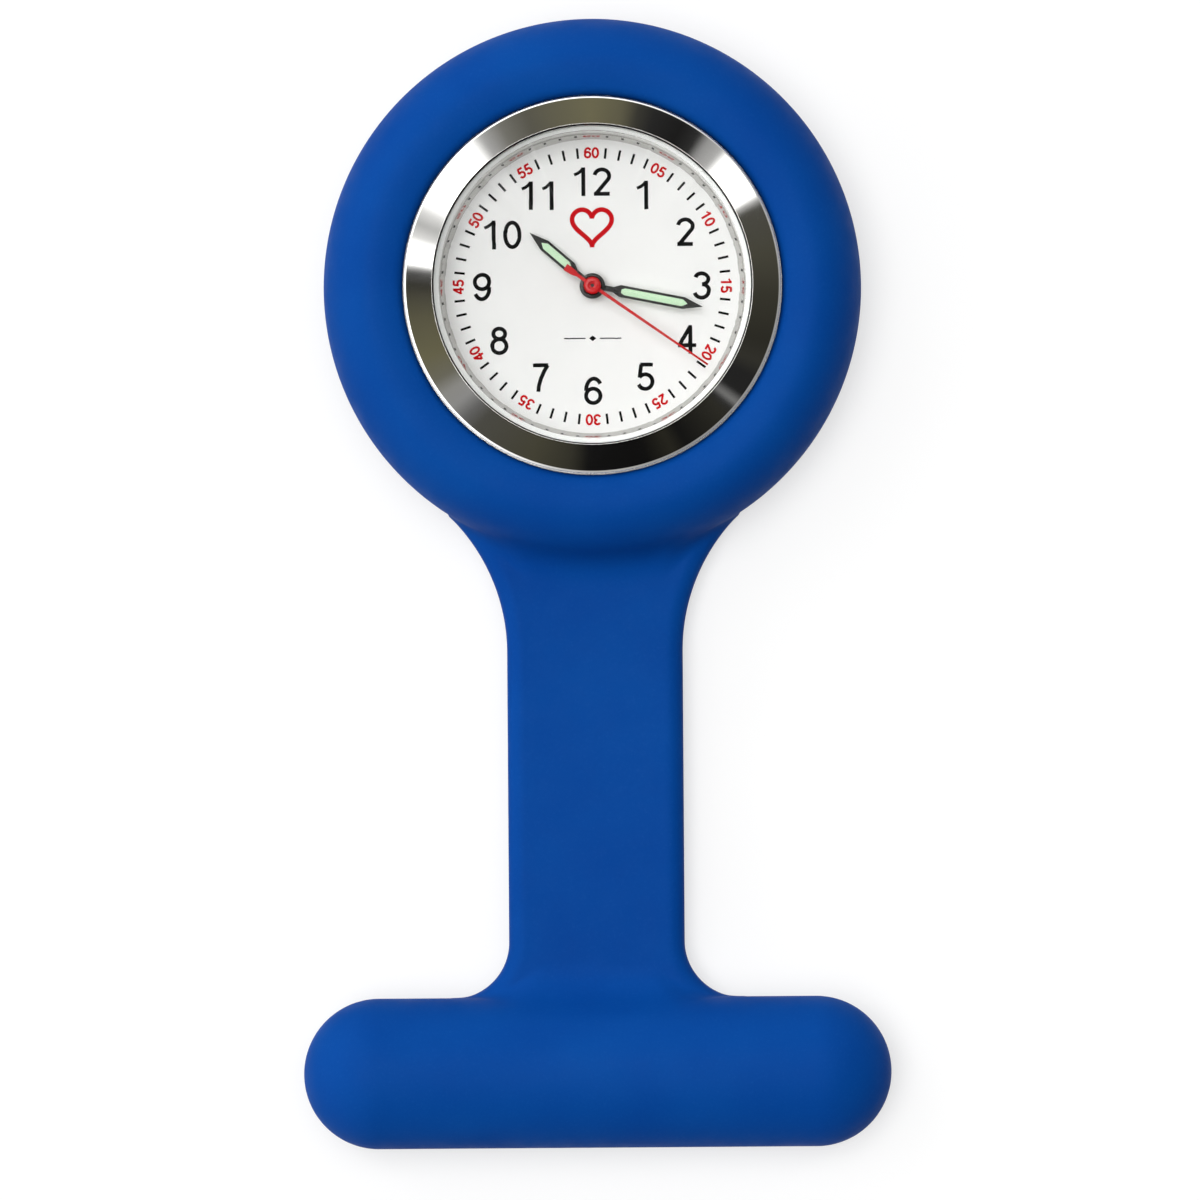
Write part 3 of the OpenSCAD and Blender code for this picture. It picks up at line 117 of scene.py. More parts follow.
def rounded(corners, steps=5):
    """Profile points from (r, z, fillet) corners; each fillet is an arc between its two edges."""
    points = []
    n = len(corners)
    for i, (r, z, fillet) in enumerate(corners):
        here = np.array([r, z])
        before = np.array(corners[i - 1][:2]) - here
        after = np.array(corners[(i + 1) % n][:2]) - here
        if fillet <= 0:
            points.append(here)
            continue
        before /= np.linalg.norm(before)
        after /= np.linalg.norm(after)
        half = math.acos(np.clip(before @ after, -1, 1)) / 2
        middle = (before + after) / np.linalg.norm(before + after)
        centre = here + middle * fillet / math.sin(half)
        start = here + before * fillet / math.tan(half) - centre
        end = here + after * fillet / math.tan(half) - centre
        turn = math.atan2(start[0] * end[1] - start[1] * end[0], start @ end)
        for k in range(steps + 1):
            a = turn * k / steps
            points.append(centre + [start[0] * math.cos(a) - start[1] * math.sin(a),
                                    start[0] * math.sin(a) + start[1] * math.cos(a)])
    return points


def lathe_mesh(profile, segments, closed):
    """Vertices and faces of a profile turned round the Z axis; points on the axis become poles."""
    verts, faces, rows = [], [], []
    for r, z in profile:
        if r < 1e-6:
            rows.append([len(verts)] * segments)
            verts.append((0.0, 0.0, z))
            continue
        rows.append(list(range(len(verts), len(verts) + segments)))
        for i in range(segments):
            a = 2 * math.pi * i / segments
            verts.append((r * math.cos(a), r * math.sin(a), z))
    pairs = list(zip(rows, rows[1:] + rows[:1])) if closed else list(zip(rows, rows[1:]))
    for a, b in pairs:
        for i in range(segments):
            j = (i + 1) % segments
            face = [a[i], a[j], b[j], b[i]]
            face = [v for k, v in enumerate(face) if v != face[k - 1]]
            if len(face) > 2:
                faces.append(face)
    return verts, faces


def lathe(name, corners, material, segments=288, closed=True, sharp=32):
    """A turned piece; its profile runs round the section with the metal on its left.

    Edges that turn by more than sharp degrees are shaded as edges.
    """
    verts, faces = lathe_mesh(rounded(corners), segments, closed)
    obj = mesh_object(name, verts, faces, material)
    obj.data.set_sharp_from_angle(angle=math.radians(sharp))
    return obj


def clock(r, degrees):
    """A place on the dial, at an angle clockwise from twelve."""
    a = math.radians(90 - degrees)
    return np.array([r * math.cos(a), r * math.sin(a)])


def turned(points, degrees):
    """Points turned clockwise, as the hands turn."""
    a = math.radians(-degrees)
    c, s = math.cos(a), math.sin(a)
    p = np.asarray(points, float)
    return np.stack([p[:, 0] * c - p[:, 1] * s, p[:, 0] * s + p[:, 1] * c], 1)


def sheet_metal(name, loops, z, thickness, edge, material):
    """A flat stamped piece with rounded edges, from an outline and its openings."""
    curve = bpy.data.curves.new(name, "CURVE")
    curve.dimensions = "2D"
    curve.fill_mode = "BOTH"
    curve.extrude = (thickness / 2 - edge) * MM
    curve.bevel_depth = edge * MM
    curve.bevel_resolution = 2
    curve.offset = -edge * MM
    for loop in loops:
        spline = curve.splines.new("POLY")
        spline.points.add(len(loop) - 1)
        for point, (x, y) in zip(spline.points, loop):
            point.co = (x * MM, y * MM, 0, 1)
        spline.use_cyclic_u = True
    flat = bpy.data.objects.new(name + "_outline", curve)
    bpy.context.scene.collection.objects.link(flat)
    bpy.context.view_layer.update()
    depsgraph = bpy.context.evaluated_depsgraph_get()
    mesh = bpy.data.meshes.new_from_object(flat.evaluated_get(depsgraph))
    bpy.data.objects.remove(flat)
    mesh.transform(Matrix.Translation((0, 0, (z + thickness / 2) * MM)))
    mesh.materials.clear()
    mesh.materials.append(material)
    obj = bpy.data.objects.new(name, mesh)
    bpy.context.scene.collection.objects.link(obj)
    mesh.set_sharp_from_angle(angle=math.radians(25))
    return obj


def join(name, objects):
    """One object from several, with their materials kept."""
    with bpy.context.temp_override(active_object=objects[0], object=objects[0],
                                   selected_objects=objects, selected_editable_objects=objects):
        bpy.ops.object.join()
    objects[0].name = name
    objects[0].data.name = name
    return objects[0]


# ---------------- material tools

def linear(r, g, b):
    """Shader colour from the usual 0 to 255 values."""
    values = [v / 255 / 12.92 if v <= 10 else ((v / 255 + 0.055) / 1.055) ** 2.4 for v in (r, g, b)]
    return (*values, 1.0)


class Nodes:
    """Short names for building a material, or the world, round its one shader."""

    MIX_INPUTS, MIX_OUTPUT = (0, 6, 7), 2        # the Mix node's colour sockets go by number

    def __init__(self, name, owner=None, **settings):
        self.material = owner or bpy.data.materials.new(name)
        self.material.use_nodes = True
        self.tree = self.material.node_tree
        self.shader = self.tree.nodes["Background" if owner else "Principled BSDF"]
        self.output = self.tree.nodes["World Output" if owner else "Material Output"]
        for key, value in settings.items():
            self.put(self.shader, key.replace("_", " "), value)

    def add(self, kind, **inputs):
        node = self.tree.nodes.new(kind)
        for key, value in inputs.items():
            self.put(node, key.replace("_", " "), value)
        return node

    def put(self, node, key, value):
        """Links a socket to an input, or sets the input to a plain value."""
        if isinstance(value, bpy.types.NodeSocket):
            self.tree.links.new(value, node.inputs[key])
        else:
            node.inputs[key].default_value = value

    def place(self, stretch=(1, 1, 1)):
        """Object coordinates in millimetres."""
        mapping = self.add("ShaderNodeMapping", Vector=self.add("ShaderNodeTexCoord").outputs["Object"])
        mapping.inputs["Scale"].default_value = [s / MM for s in stretch]
        return mapping.outputs["Vector"]

    def radius(self):
        """Distance from the hands' axis in millimetres."""
        at = self.add("ShaderNodeSeparateXYZ", Vector=self.place()).outputs
        return self.maths("SQRT", self.maths("ADD", self.maths("MULTIPLY", at["X"], at["X"]),
                                             self.maths("MULTIPLY", at["Y"], at["Y"])))

    def noise(self, size, detail=3.0, rough=0.5, at=None):
        """Noise whose cells are about size millimetres across, 0 to 1."""
        node = self.add("ShaderNodeTexNoise", Vector=at or self.place(), Scale=1 / size,
                        Detail=detail, Roughness=rough)
        return node.outputs["Fac"]

    def band(self, value, start, end, to_start=0.0, to_end=1.0):
        """The value's place between start and end, mapped to a range of its own and held inside it."""
        node = self.add("ShaderNodeMapRange")
        for i, v in enumerate((value, start, end, to_start, to_end)):
            self.put(node, i, v)
        return node.outputs["Result"]

    def maths(self, operation, a, b=0.0, c=0.0):
        node = self.add("ShaderNodeMath")
        node.operation = operation
        for i, v in enumerate((a, b, c)):
            self.put(node, i, v)
        return node.outputs["Value"]

    def mix(self, factor, a, b, blend="MIX"):
        node = self.add("ShaderNodeMix")
        node.data_type = "RGBA"
        node.blend_type = blend
        for i, v in zip(self.MIX_INPUTS, (factor, a, b)):
            self.put(node, i, v)
        return node.outputs[self.MIX_OUTPUT]

    def ramp(self, value, stops):
        """Colours along the value, from (place, colour) stops."""
        node = self.add("ShaderNodeValToRGB", Fac=value)
        marks = node.color_ramp.elements
        while len(marks) < len(stops):
            marks.new(1.0)
        for mark, (where, colour) in zip(marks, stops):
            mark.position = where
            mark.color = colour
        return node.outputs["Color"]

    def colour(self, value):
        self.put(self.shader, "Base Color", value)

    def roughness(self, value):
        self.put(self.shader, "Roughness", value)

    def bump(self, height, depth, after=None):
        """Relief whose full range of height is depth millimetres."""
        node = self.add("ShaderNodeBump", Height=height, Distance=depth * MM, Strength=1.0)
        if after is not None:
            self.put(node, "Normal", after)
        self.put(self.shader, "Normal", node.outputs["Normal"])
        return node.outputs["Normal"]

    def mixed_surface(self, factor, other):
        """The material's surface, with another shader laid over its own by factor."""
        both = self.add("ShaderNodeMixShader", Fac=factor)
        self.put(both, 1, self.shader.outputs["BSDF"])
        self.put(both, 2, other.outputs["BSDF"])
        self.put(self.output, "Surface", both.outputs["Shader"])

    def edges(self, width):
        """How far a place is from a sharp edge: 1 on an edge, 0 on open faces."""
        bevel = self.add("ShaderNodeBevel", Radius=width * MM)
        geometry = self.add("ShaderNodeNewGeometry")
        dot = self.add("ShaderNodeVectorMath")
        dot.operation = "DOT_PRODUCT"
        self.put(dot, 0, bevel.outputs["Normal"])
        self.put(dot, 1, geometry.outputs["Normal"])
        return self.band(dot.outputs["Value"], 1.0, 0.9)


def varied(n, colour, spread, size, detail=3.0):
    """A colour that drifts by spread, as a share of itself, over cells of size millimetres."""
    shade = linear(*colour)[:3]
    darker = tuple(c * (1 - spread) for c in shade) + (1.0,)
    lighter = tuple(min(c * (1 + spread), 1.0) for c in shade) + (1.0,)
    return n.mix(n.band(n.noise(size, detail), 0.35, 0.65), darker, lighter)


# ---------------- materials

def silicone_material():
    """Matte moulded silicone: a fine grain, lighter on its raised specks and darker in its pits, where the
    darkening is painted shade, and a slow drift of tone.
    """
    n = Nodes("silicone_blue", Specular_IOR_Level=0.035)
    speck = n.noise(0.22, 3.0, 0.6)
    base = n.mix(n.band(n.noise(9.0, 2.0), 0.3, 0.7), linear(1, 61, 139), linear(3, 67, 145))
    # Lighter where the grain's relief stands up.
    base = n.mix(n.band(speck, 0.55, 0.8, 0.0, 0.07), base, linear(60, 112, 196))
    # Painted shade: darker in the pits of the grain's relief.
    base = n.mix(n.band(speck, 0.45, 0.25, 0.0, 0.12), base, linear(2, 46, 112))
    n.colour(base)
    n.roughness(n.band(n.noise(1.6, 4.0), 0.3, 0.7, 0.50, 0.62))
    grain = n.bump(speck, 0.010)
    n.bump(n.noise(2.6, 2.0), 0.018, grain)
    return n.material


def chrome_material():
    """Mirror polish with the faintest trace of turning, a few hairlines and a warm cast."""
    n = Nodes("bezel_chrome", Metallic=1.0)
    n.colour(varied(n, (233, 232, 229), 0.02, 3.0))
    n.roughness(n.band(n.noise(2.0, 5.0), 0.3, 0.75, 0.035, 0.075))
    n.bump(n.noise(0.05, 2.0, 0.5, n.place((0.06, 1.0, 1.0))), 0.00025)
    return n.material


def turned_steel(name, colour, rough, step=0.07, depth=0.0012):
    """Steel with the rings that a lathe or a circular brush leaves round the Z axis."""
    n = Nodes(name, Metallic=1.0)
    height = n.add("ShaderNodeSeparateXYZ", Vector=n.place()).outputs["Z"]
    ring = n.add("ShaderNodeCombineXYZ", X=n.radius(), Z=height)
    lines = n.noise(step, 3.0, 0.6, ring.outputs["Vector"])
    n.colour(varied(n, colour, 0.05, 2.4))
    n.roughness(n.band(lines, 0.3, 0.7, rough * 0.75, rough * 1.3))
    n.bump(lines, depth)
    return n.material


def brushed_steel(name, colour, rough):
    """Plated or brushed metal: fine lines along X, paler where its edges are worn."""
    n = Nodes(name, Metallic=1.0)
    lines = n.noise(0.06, 3.0, 0.6, n.place((0.05, 1.0, 1.0)))
    base = varied(n, colour, 0.06, 1.8)
    bright = tuple(min(c * 1.25 + 0.05, 1.0) for c in linear(*colour)[:3]) + (1.0,)
    n.colour(n.mix(n.maths("MULTIPLY", n.edges(0.1), n.noise(0.8)), base, bright))
    n.roughness(n.band(lines, 0.3, 0.7, rough * 0.75, rough * 1.3))
    n.bump(lines, 0.001)
    return n.material


def moulded(name, colour, rough, grain=0.12, depth=0.003, spread=0.04, **settings):
    """Moulded plastic, rubber or lacquer with a fine grain."""
    n = Nodes(name, **settings)
    n.colour(varied(n, colour, spread, 1.5))
    n.roughness(n.band(n.noise(0.9, 4.0), 0.3, 0.7, rough * 0.85, rough * 1.15))
    n.bump(n.noise(grain, 3.0), depth)
    return n.material


def glass_material():
    """Mineral glass, ground matt on its bevel. Light falls straight through it onto the dial."""
    n = Nodes("crystal_glass", Transmission_Weight=1.0, IOR=1.47)
    flat_r = crystal_r - CRYSTAL_BEVEL
    ground = n.band(n.radius(), flat_r, flat_r + 0.03)
    clean = n.mix(n.band(n.noise(6.0), 0.3, 0.7), (0.985, 0.992, 0.99, 1), (0.995, 0.998, 0.996, 1))
    n.colour(n.mix(ground, clean, (0.85, 0.88, 0.87, 1)))
    smear = n.band(n.noise(3.0, 5.0), 0.55, 0.8, 0.0, 0.01)
    n.roughness(n.maths("ADD", smear, n.maths("MULTIPLY", ground, 0.12)))
    path = n.add("ShaderNodeLightPath").outputs
    past = n.maths("MAXIMUM", path["Is Shadow Ray"], path["Is Diffuse Ray"])
    n.mixed_surface(past, n.add("ShaderNodeBsdfTransparent", Color=(0.992, 0.996, 0.994, 1)))
    return n.material


def ink(name, colour):
    """Pad-printed ink: nearly even, slightly glossy, with a faint mottle."""
    n = Nodes(name, Specular_IOR_Level=0.06)
    n.colour(varied(n, colour, 0.10, 0.12))
    n.roughness(n.band(n.noise(0.2), 0.3, 0.7, 0.38, 0.52))
    return n.material


def lume_material():
    """Pale green luminous paint: grainy and matte."""
    n = Nodes("lume_green", Specular_IOR_Level=0.25)
    grain = n.noise(0.07, 3.0)
    n.colour(n.mix(n.band(grain, 0.35, 0.65), linear(196, 238, 196), linear(222, 246, 214)))
    n.roughness(n.band(grain, 0.3, 0.7, 0.55, 0.75))
    n.bump(grain, 0.006)
    return n.material


def winding_material():
    """Enamelled wire wound round the X axis, each turn painted darker where it meets the next and lighter on
    its crest: painted shade and painted highlight.
    """
    wire = 0.06
    n = Nodes("copper_wire", Metallic=0.8)
    along = n.add("ShaderNodeSeparateXYZ", Vector=n.place()).outputs["X"]
    wave = n.maths("SINE", n.maths("MULTIPLY", along, 2 * math.pi / wire))
    # Painted shade and highlight: darker copper in the grooves between turns, lighter on each crest, in step
    # with the bump.
    n.colour(n.mix(n.band(wave, -1.0, 1.0), linear(150, 72, 34), linear(226, 132, 80)))
    n.roughness(n.band(n.noise(0.4), 0.3, 0.7, 0.25, 0.4))
    n.bump(wave, 0.008)
    return n.material


LACQUER = dict(grain=0.1, depth=0.001, Specular_IOR_Level=0.3, Coat_Roughness=0.1)

silicone = silicone_material()
chrome = chrome_material()
glass = glass_material()
back_steel = turned_steel("back_steel", (214, 214, 217), 0.30, 0.05, 0.002)
dial_white = moulded("dial_white", (249, 248, 247), 0.42, 0.25, 0.0006, 0.008,
                     Specular_IOR_Level=0.3)
rehaut_silver = moulded("rehaut_silver", (204, 203, 200), 0.05, 0.5, 0.0004, 0.02, Metallic=0.95)
nylon = moulded("gasket_nylon", (18, 18, 17), 0.4, 0.2, 0.002, Specular_IOR_Level=0.15)
print_black = ink("print_black", (11, 11, 10))
print_red = ink("print_red", (200, 5, 16))
hand_black = moulded("hand_black", (26, 25, 23), 0.3, Coat_Weight=0.2, **LACQUER)
hand_red = moulded("hand_red", (196, 12, 18), 0.26, Coat_Weight=0.25, **LACQUER)
lume = lume_material()

finishes = {
    "silicone": silicone,
    "pin_steel": brushed_steel("pin_steel", (206, 206, 208), 0.26),
    "roller_brass": brushed_steel("roller_brass", (214, 200, 170), 0.24),
    "case_steel": turned_steel("case_steel", (212, 212, 214), 0.24),
    "back_steel": back_steel,
    "black_rubber": moulded("black_rubber", (24, 24, 25), 0.62),
    "bezel_chrome": chrome,
    "crystal_glass": glass,
    "crystal_gasket": nylon,
    "crown_steel": brushed_steel("crown_steel", (216, 216, 219), 0.2),
    "white_plastic": moulded("white_plastic", (236, 236, 230), 0.45),
    "dial_paint": dial_white,
    "rehaut_plastic": rehaut_silver,
    "train_brass": turned_steel("train_brass", (222, 184, 108), 0.26, 0.04, 0.001),
    "hand_black": hand_black,
    "hand_red": hand_red,
    "lume": lume,
    "plate_plastic": moulded("plate_plastic", (44, 45, 49), 0.5, 0.2, 0.006),
    "bridge_plate": brushed_steel("bridge_plate", (222, 212, 184), 0.28),
    "screw_steel": turned_steel("screw_steel", (190, 191, 198), 0.2, 0.05, 0.0006),
    "magnet": moulded("magnet", (84, 84, 90), 0.5, 0.05, 0.004, Metallic=0.7),
    "lamination": brushed_steel("lamination", (160, 161, 166), 0.35),
    "copper_wire": winding_material(),
    "board_green": moulded("board_green", (24, 108, 66), 0.35, 0.3, 0.004),
    "chip_black": moulded("chip_black", (26, 26, 29), 0.5, 0.06, 0.003),
    "battery_steel": turned_steel("battery_steel", (214, 214, 217), 0.22, 0.05, 0.0008),
}
slot_of = {part["node"]: part["material_slot"] for part in frame["record"]["subparts"]}
for node, obj in frame["nodes"].items():
    for holder in obj.material_slots:
        holder.material = finishes[slot_of[node]]


def soften(node, width):
    """Rolled edges on a stamped or turned solid that keeps its own mesh."""
    bevel = frame["nodes"][node].modifiers.new("rolled_edges", "BEVEL")
    bevel.width = width * MM
    bevel.segments = 2
    bevel.limit_method = "ANGLE"
    bevel.angle_limit = math.radians(50)
    bevel.harden_normals = False


for node, width in (("brooch_bar", 0.06), ("pin_rivet", 0.05), ("catch_roller", 0.05)):
    soften(node, width)


# ---------------- silicone holder

RING_FOOT = 2.0          # the ring's back margin rounds off over this width
RING_SIDE = 4.0          # from the widest line in to the crest
RING_INNER = 5.4         # half width of the crest's inner slope
RING_WAIST_Z = 3.4
STRAP_HALF = 6.8
STRAP_T = 3.2
STRAP_EDGE = 1.3
FLARE_R = 14.8
FLARE_DIP = 0.1
FILLET_R = 4.4
FILLET_DIP = 0.14
TBAR_WAIST_Z = 3.0
TBAR_H = 8.4
TBAR_FOOT = 1.2
LIP_GAP = 0.12
BACK_SKIN = low("case_body").z
BACK_HOLE_R = 11.0
CHANNEL_SHORT = 0.8      # the channel ends this far inside the brooch bar at each end
CHANNEL_HALF = plate_half - 0.5
PLATE_T = 0.6            # the brooch bar's plate, in the roof of the channel
PLATE_GAP = 0.1
POCKET_GAP = 0.05        # round the case, and over its shoulder
CROWN_TUBE_R = 1.2
CROWN_ROOM_R = 2.3       # the crown turns in a round room, from inside the case out to CROWN_ROOM_END
CROWN_ROOM_END = 19.1
LIP_ROUND, HOLE_ROUND, CHANNEL_ROUND, INNER_ROUND = 0.7, 0.4, 0.3, 0.08      # softness of the cut edges
RING_BLEND = 0.5         # width of the soft joins at the outline, strap to ring
TBAR_BLEND = 0.3         # and strap to T-bar
VALLEY_BLEND = 2.8       # width of the same joins from VALLEY_INSET inside the outline
VALLEY_INSET = 3.0
LEAST_BLEND = 0.01       # their width on the flat back; it grows between these heights
BLEND_FROM_Z, BLEND_TO_Z = 0.2, 1.6
BACK_LIFT = 0.002        # keeps the skin inside the solid's box
GRID_STEP, GRID_STEP_QUICK, GRID_MARGIN = 0.27, 0.45, 0.7

flare_x = STRAP_HALF + FLARE_R
flare_y = -math.sqrt((ring_r + FLARE_R - FLARE_DIP) ** 2 - flare_x ** 2)
flare_half = flare_x * ring_r / (ring_r + FLARE_R)
fillet_x = STRAP_HALF + FILLET_R
fillet_y = tbar_y + tbar_half_w + FILLET_R - FILLET_DIP
tbar_end_x = tbar_half - tbar_half_w
plate_low = brooch_high.z - PLATE_T
lip_r = bezel_r + LIP_GAP
crown_z = low("crown_tube").z + CROWN_TUBE_R


def ellipse_gap(u, v, a, b):
    """Nearly the distance from an ellipse with half axes a and b, negative inside."""
    k0 = np.sqrt((u / a) ** 2 + (v / b) ** 2) + 1e-9
    k1 = np.sqrt((u / a ** 2) ** 2 + (v / b ** 2) ** 2) + 1e-9
    return k0 * (k0 - 1) / k1


def blend_min(a, b, k):
    """The lesser of two distances, with a soft valley k wide where they meet."""
    h = np.maximum(k - np.abs(a - b), 0) / k
    return np.minimum(a, b) - h * h * k / 4


def cut(body, opening, k):
    """The body's distance with an opening cut out of it, its edges k soft."""
    return -blend_min(-body, opening, k)


def overlap(*distances):
    """Distance from the space that several shapes share."""
    return functools.reduce(np.maximum, distances)


def rise(x, start, end):
    """A smooth step from 0 to 1."""
    t = np.clip((x - start) / (end - start), 0, 1)
    return t * t * (3 - 2 * t)


def dome_section(r, z, half, foot, waist_z, top_z, crest_r, inner):
    """Section of the ring or the T-bar: flat back, rounded foot, domed front with its crest at crest_r."""
    foot_r = half - foot
    edge = ellipse_gap(np.maximum(r - foot_r, 0), z - waist_z, foot, waist_z)
    under = np.where(r > foot_r, edge, -z)
    side = np.where(r > crest_r, half - crest_r, inner)
    over = ellipse_gap(r - crest_r, z - waist_z, side, top_z - waist_z)
    return np.where(z > waist_z, over, under)


def strap_outline(x, y):
    """Distance in plan from the strap with its flares, negative inside."""
    ax = np.abs(x)
    flare = np.maximum(FLARE_R - np.hypot(ax - flare_x, y - flare_y), ax - flare_half)
    fillet = FILLET_R - np.hypot(ax - fillet_x, y - fillet_y)
    side = np.where(y > flare_y, flare, np.where(y < fillet_y, fillet, ax - STRAP_HALF))
    return overlap(side, tbar_y - y, y + lip_r, ax - fillet_x)


def holder_body(x, y, z, r, bar):
    """The holder without its openings: strap, ring and T-bar with soft joins between them."""
    plan = strap_outline(x, y)
    ring = dome_section(r, z, ring_r, RING_FOOT, RING_WAIST_Z, ring_h, ring_r - RING_SIDE, RING_INNER)
    tbar = dome_section(bar, z, tbar_half_w, TBAR_FOOT, TBAR_WAIST_Z, TBAR_H, 0.0, tbar_half_w)
    side = plan + STRAP_EDGE
    face = np.abs(z - STRAP_T / 2) - STRAP_T / 2 + STRAP_EDGE
    strap = np.hypot(np.maximum(side, 0), np.maximum(face, 0)) + np.minimum(np.maximum(side, face), 0)
    body = strap - STRAP_EDGE
    inset = -np.minimum(np.minimum(r - ring_r, bar - tbar_half_w), plan)
    valley, lift = rise(inset, 0.0, VALLEY_INSET), rise(z, BLEND_FROM_Z, BLEND_TO_Z)
    for shape, blend in ((ring, RING_BLEND), (tbar, TBAR_BLEND)):
        body = blend_min(body, shape, LEAST_BLEND + (blend + (VALLEY_BLEND - blend) * valley) * lift)
    return body


def holder_field(x, y, z):
    """Nearly the distance from the holder's skin, negative inside the silicone."""
    r = np.hypot(x, y)
    bar = np.hypot(np.maximum(np.abs(x) - tbar_end_x, 0), y - tbar_y)
    lip = overlap(r - lip_r, shoulder_z - z)
    hole = overlap(r - BACK_HOLE_R, z - BACK_SKIN - 0.01)
    channel = overlap(np.abs(x) - brooch_high.x + CHANNEL_SHORT,
                      np.abs(y - tbar_y) - CHANNEL_HALF, z - plate_low)
    pocket = overlap(r - case_r - POCKET_GAP, BACK_SKIN - z, z - shoulder_z - POCKET_GAP)
    crown = overlap(np.hypot(y, z - crown_z) - CROWN_ROOM_R, case_r - 1 - x, x - CROWN_ROOM_END)
    along = np.maximum(np.abs(x) - brooch_high.x + plate_half, 0)
    plate = overlap(np.hypot(along, y - tbar_y) - plate_half - PLATE_GAP,
                    plate_low - z, z - brooch_high.z - PLATE_GAP)
    body = holder_body(x, y, z, r, bar)
    for opening, k in ((lip, LIP_ROUND), (hole, HOLE_ROUND), (channel, CHANNEL_ROUND),
                       (pocket, INNER_ROUND), (crown, INNER_ROUND), (plate, INNER_ROUND)):
        body = cut(body, opening, k)
    return body


def gradient(field, p, e=0.01):
    """Slope of the field at each point, from places e away on both sides."""
    g = np.empty_like(p)
    for axis in range(3):
        step = np.zeros(3)
        step[axis] = e
        g[:, axis] = (field(*(p + step).T) - field(*(p - step).T)) / (2 * e)
    return g


def settle(field, p, reach, rounds):
    """Points drawn onto the surface where field is 0, each by no more than reach a round."""
    for _ in range(rounds):
        g = gradient(field, p)
        slope = np.maximum((g * g).sum(1), 0.05)
        move = -(field(*p.T) / slope)[:, None] * g
        length = np.linalg.norm(move, axis=1, keepdims=True) + 1e-12
        p = p + move * np.minimum(1, reach / length)
    return p


def skin(field, lo, hi, step):
    """Quads over the surface where field is 0, one vertex for each grid cell that the surface crosses."""
    axes = [np.arange(a, b + step, step) for a, b in zip(lo, hi)]
    f = field(*np.meshgrid(*axes, indexing="ij"))
    inside = f < 0
    shape = np.array(f.shape) - 1
    corners = [(i, j, k) for i in (0, 1) for j in (0, 1) for k in (0, 1)]

    def corner(grid, c):
        return grid[c[0]:c[0] + shape[0], c[1]:c[1] + shape[1], c[2]:c[2] + shape[2]]

    count = sum(corner(inside, c).astype(np.int8) for c in corners)
    active = (count > 0) & (count < 8)
    index = np.full(shape, -1)
    index[active] = np.arange(active.sum())
    total = np.zeros((active.sum(), 3))
    crossings = np.zeros(active.sum())
    for a in corners:
        for axis in range(3):
            if a[axis]:
                continue
            b = tuple(v + (i == axis) for i, v in enumerate(a))
            fa, fb = corner(f, a)[active], corner(f, b)[active]
            cross = (fa < 0) != (fb < 0)
            t = np.where(cross, fa / np.where(cross, fa - fb, 1), 0)
            point = np.array(a, float) + np.zeros((len(t), 3))
            point[:, axis] += t
            total += point * cross[:, None]
            crossings += cross
    verts = np.array(lo) + (np.argwhere(active) + total / crossings[:, None]) * step

    faces = []
    for d in range(3):
        u, v = (d + 1) % 3, (d + 2) % 3
        first = [slice(1, n - 1) for n in f.shape]
        first[d] = slice(0, f.shape[d] - 1)
        second = list(first)
        second[d] = slice(1, f.shape[d])
        a, b = inside[tuple(first)], inside[tuple(second)]
        for out, rows in ((True, np.argwhere(a & ~b)), (False, np.argwhere(~a & b))):
            cell = rows + 1
            cell[:, d] -= 1
            ring = []
            for du, dv in ((1, 1), (0, 1), (0, 0), (1, 0)):
                c = cell.copy()
                c[:, u] -= du
                c[:, v] -= dv
                ring.append(index[c[:, 0], c[:, 1], c[:, 2]])
            faces.append(np.stack(ring if out else ring[::-1], 1))
    return verts, np.concatenate(faces)


def relax(p, faces, share):
    """Moves each point towards the middle of its neighbours, so that the quads even out."""
    total, count = np.zeros_like(p), np.zeros(len(p))
    for k in range(4):
        a, b = faces[:, k], faces[:, (k + 1) % 4]
        for i, j in ((a, b), (b, a)):
            np.add.at(total, i, p[j])
            np.add.at(count, i, 1)
    return p + share * (total / count[:, None] - p)


def make_holder():
    """The one-piece silicone moulding, meshed from its distance field and evened out."""
    step = GRID_STEP
    lo = (-tbar_half - GRID_MARGIN, tbar_y - tbar_half_w - GRID_MARGIN, -GRID_MARGIN)
    hi = (tbar_half + GRID_MARGIN, ring_r + GRID_MARGIN, ring_h + GRID_MARGIN)
    points, faces = skin(holder_field, lo, hi, step)
    points = settle(holder_field, points, step / 2, 3)
    for _ in range(3):
        points = settle(holder_field, relax(points, faces, 0.5), step / 2, 2)
    points[:, 2] = np.maximum(points[:, 2], BACK_LIFT)
    slope = gradient(holder_field, points)
    normals = slope / np.linalg.norm(slope, axis=1, keepdims=True)
    obj = mesh_object("silicone_holder_moulding", points, faces, silicone, normals=normals)
    place(obj, "watch", "silicone", "silicone_holder")


make_holder()


# ---------------- watch head

BEZEL_OVERHANG = 0.13    # the bezel's rim over the gasket
BEZEL_WALL = 1.35        # height of its outer wall
CHAMFER_W, CHAMFER_H = 0.16, 0.12
GASKET_W = 0.45
GASKET_LIP = 0.22
SEAT_DROP = 0.2          # from the gasket's foot to the underside of its seat
BORE_R = 13.0            # the bezel's bore, over the case's neck
NECK_R, NECK_H = 13.72, 0.75
REHAUT_W = 1.63          # the flange ring at its foot
REHAUT_EDGE, REHAUT_SLOPE, REHAUT_SLOPE_H = 0.51, 0.35, 0.42
BACK_FLAT_R = BACK_HOLE_R - 1.4
BACK_SLOPE_W = 1.0
BACK_T = 0.7
BACK_FLANGE_Z = 1.2      # underside of the case back's flange
BACK_INNER_Z = BACK_FLANGE_Z + BACK_T
SNAP_IN, SNAP_OUT, SNAP_Z = 12.25, 12.95, 2.9


def head_part(name, node, slot, material, corners, **how):
    """A turned piece of the head, in place of its solid."""
    place(lathe(name, corners, material, **how), "watch", slot, node)


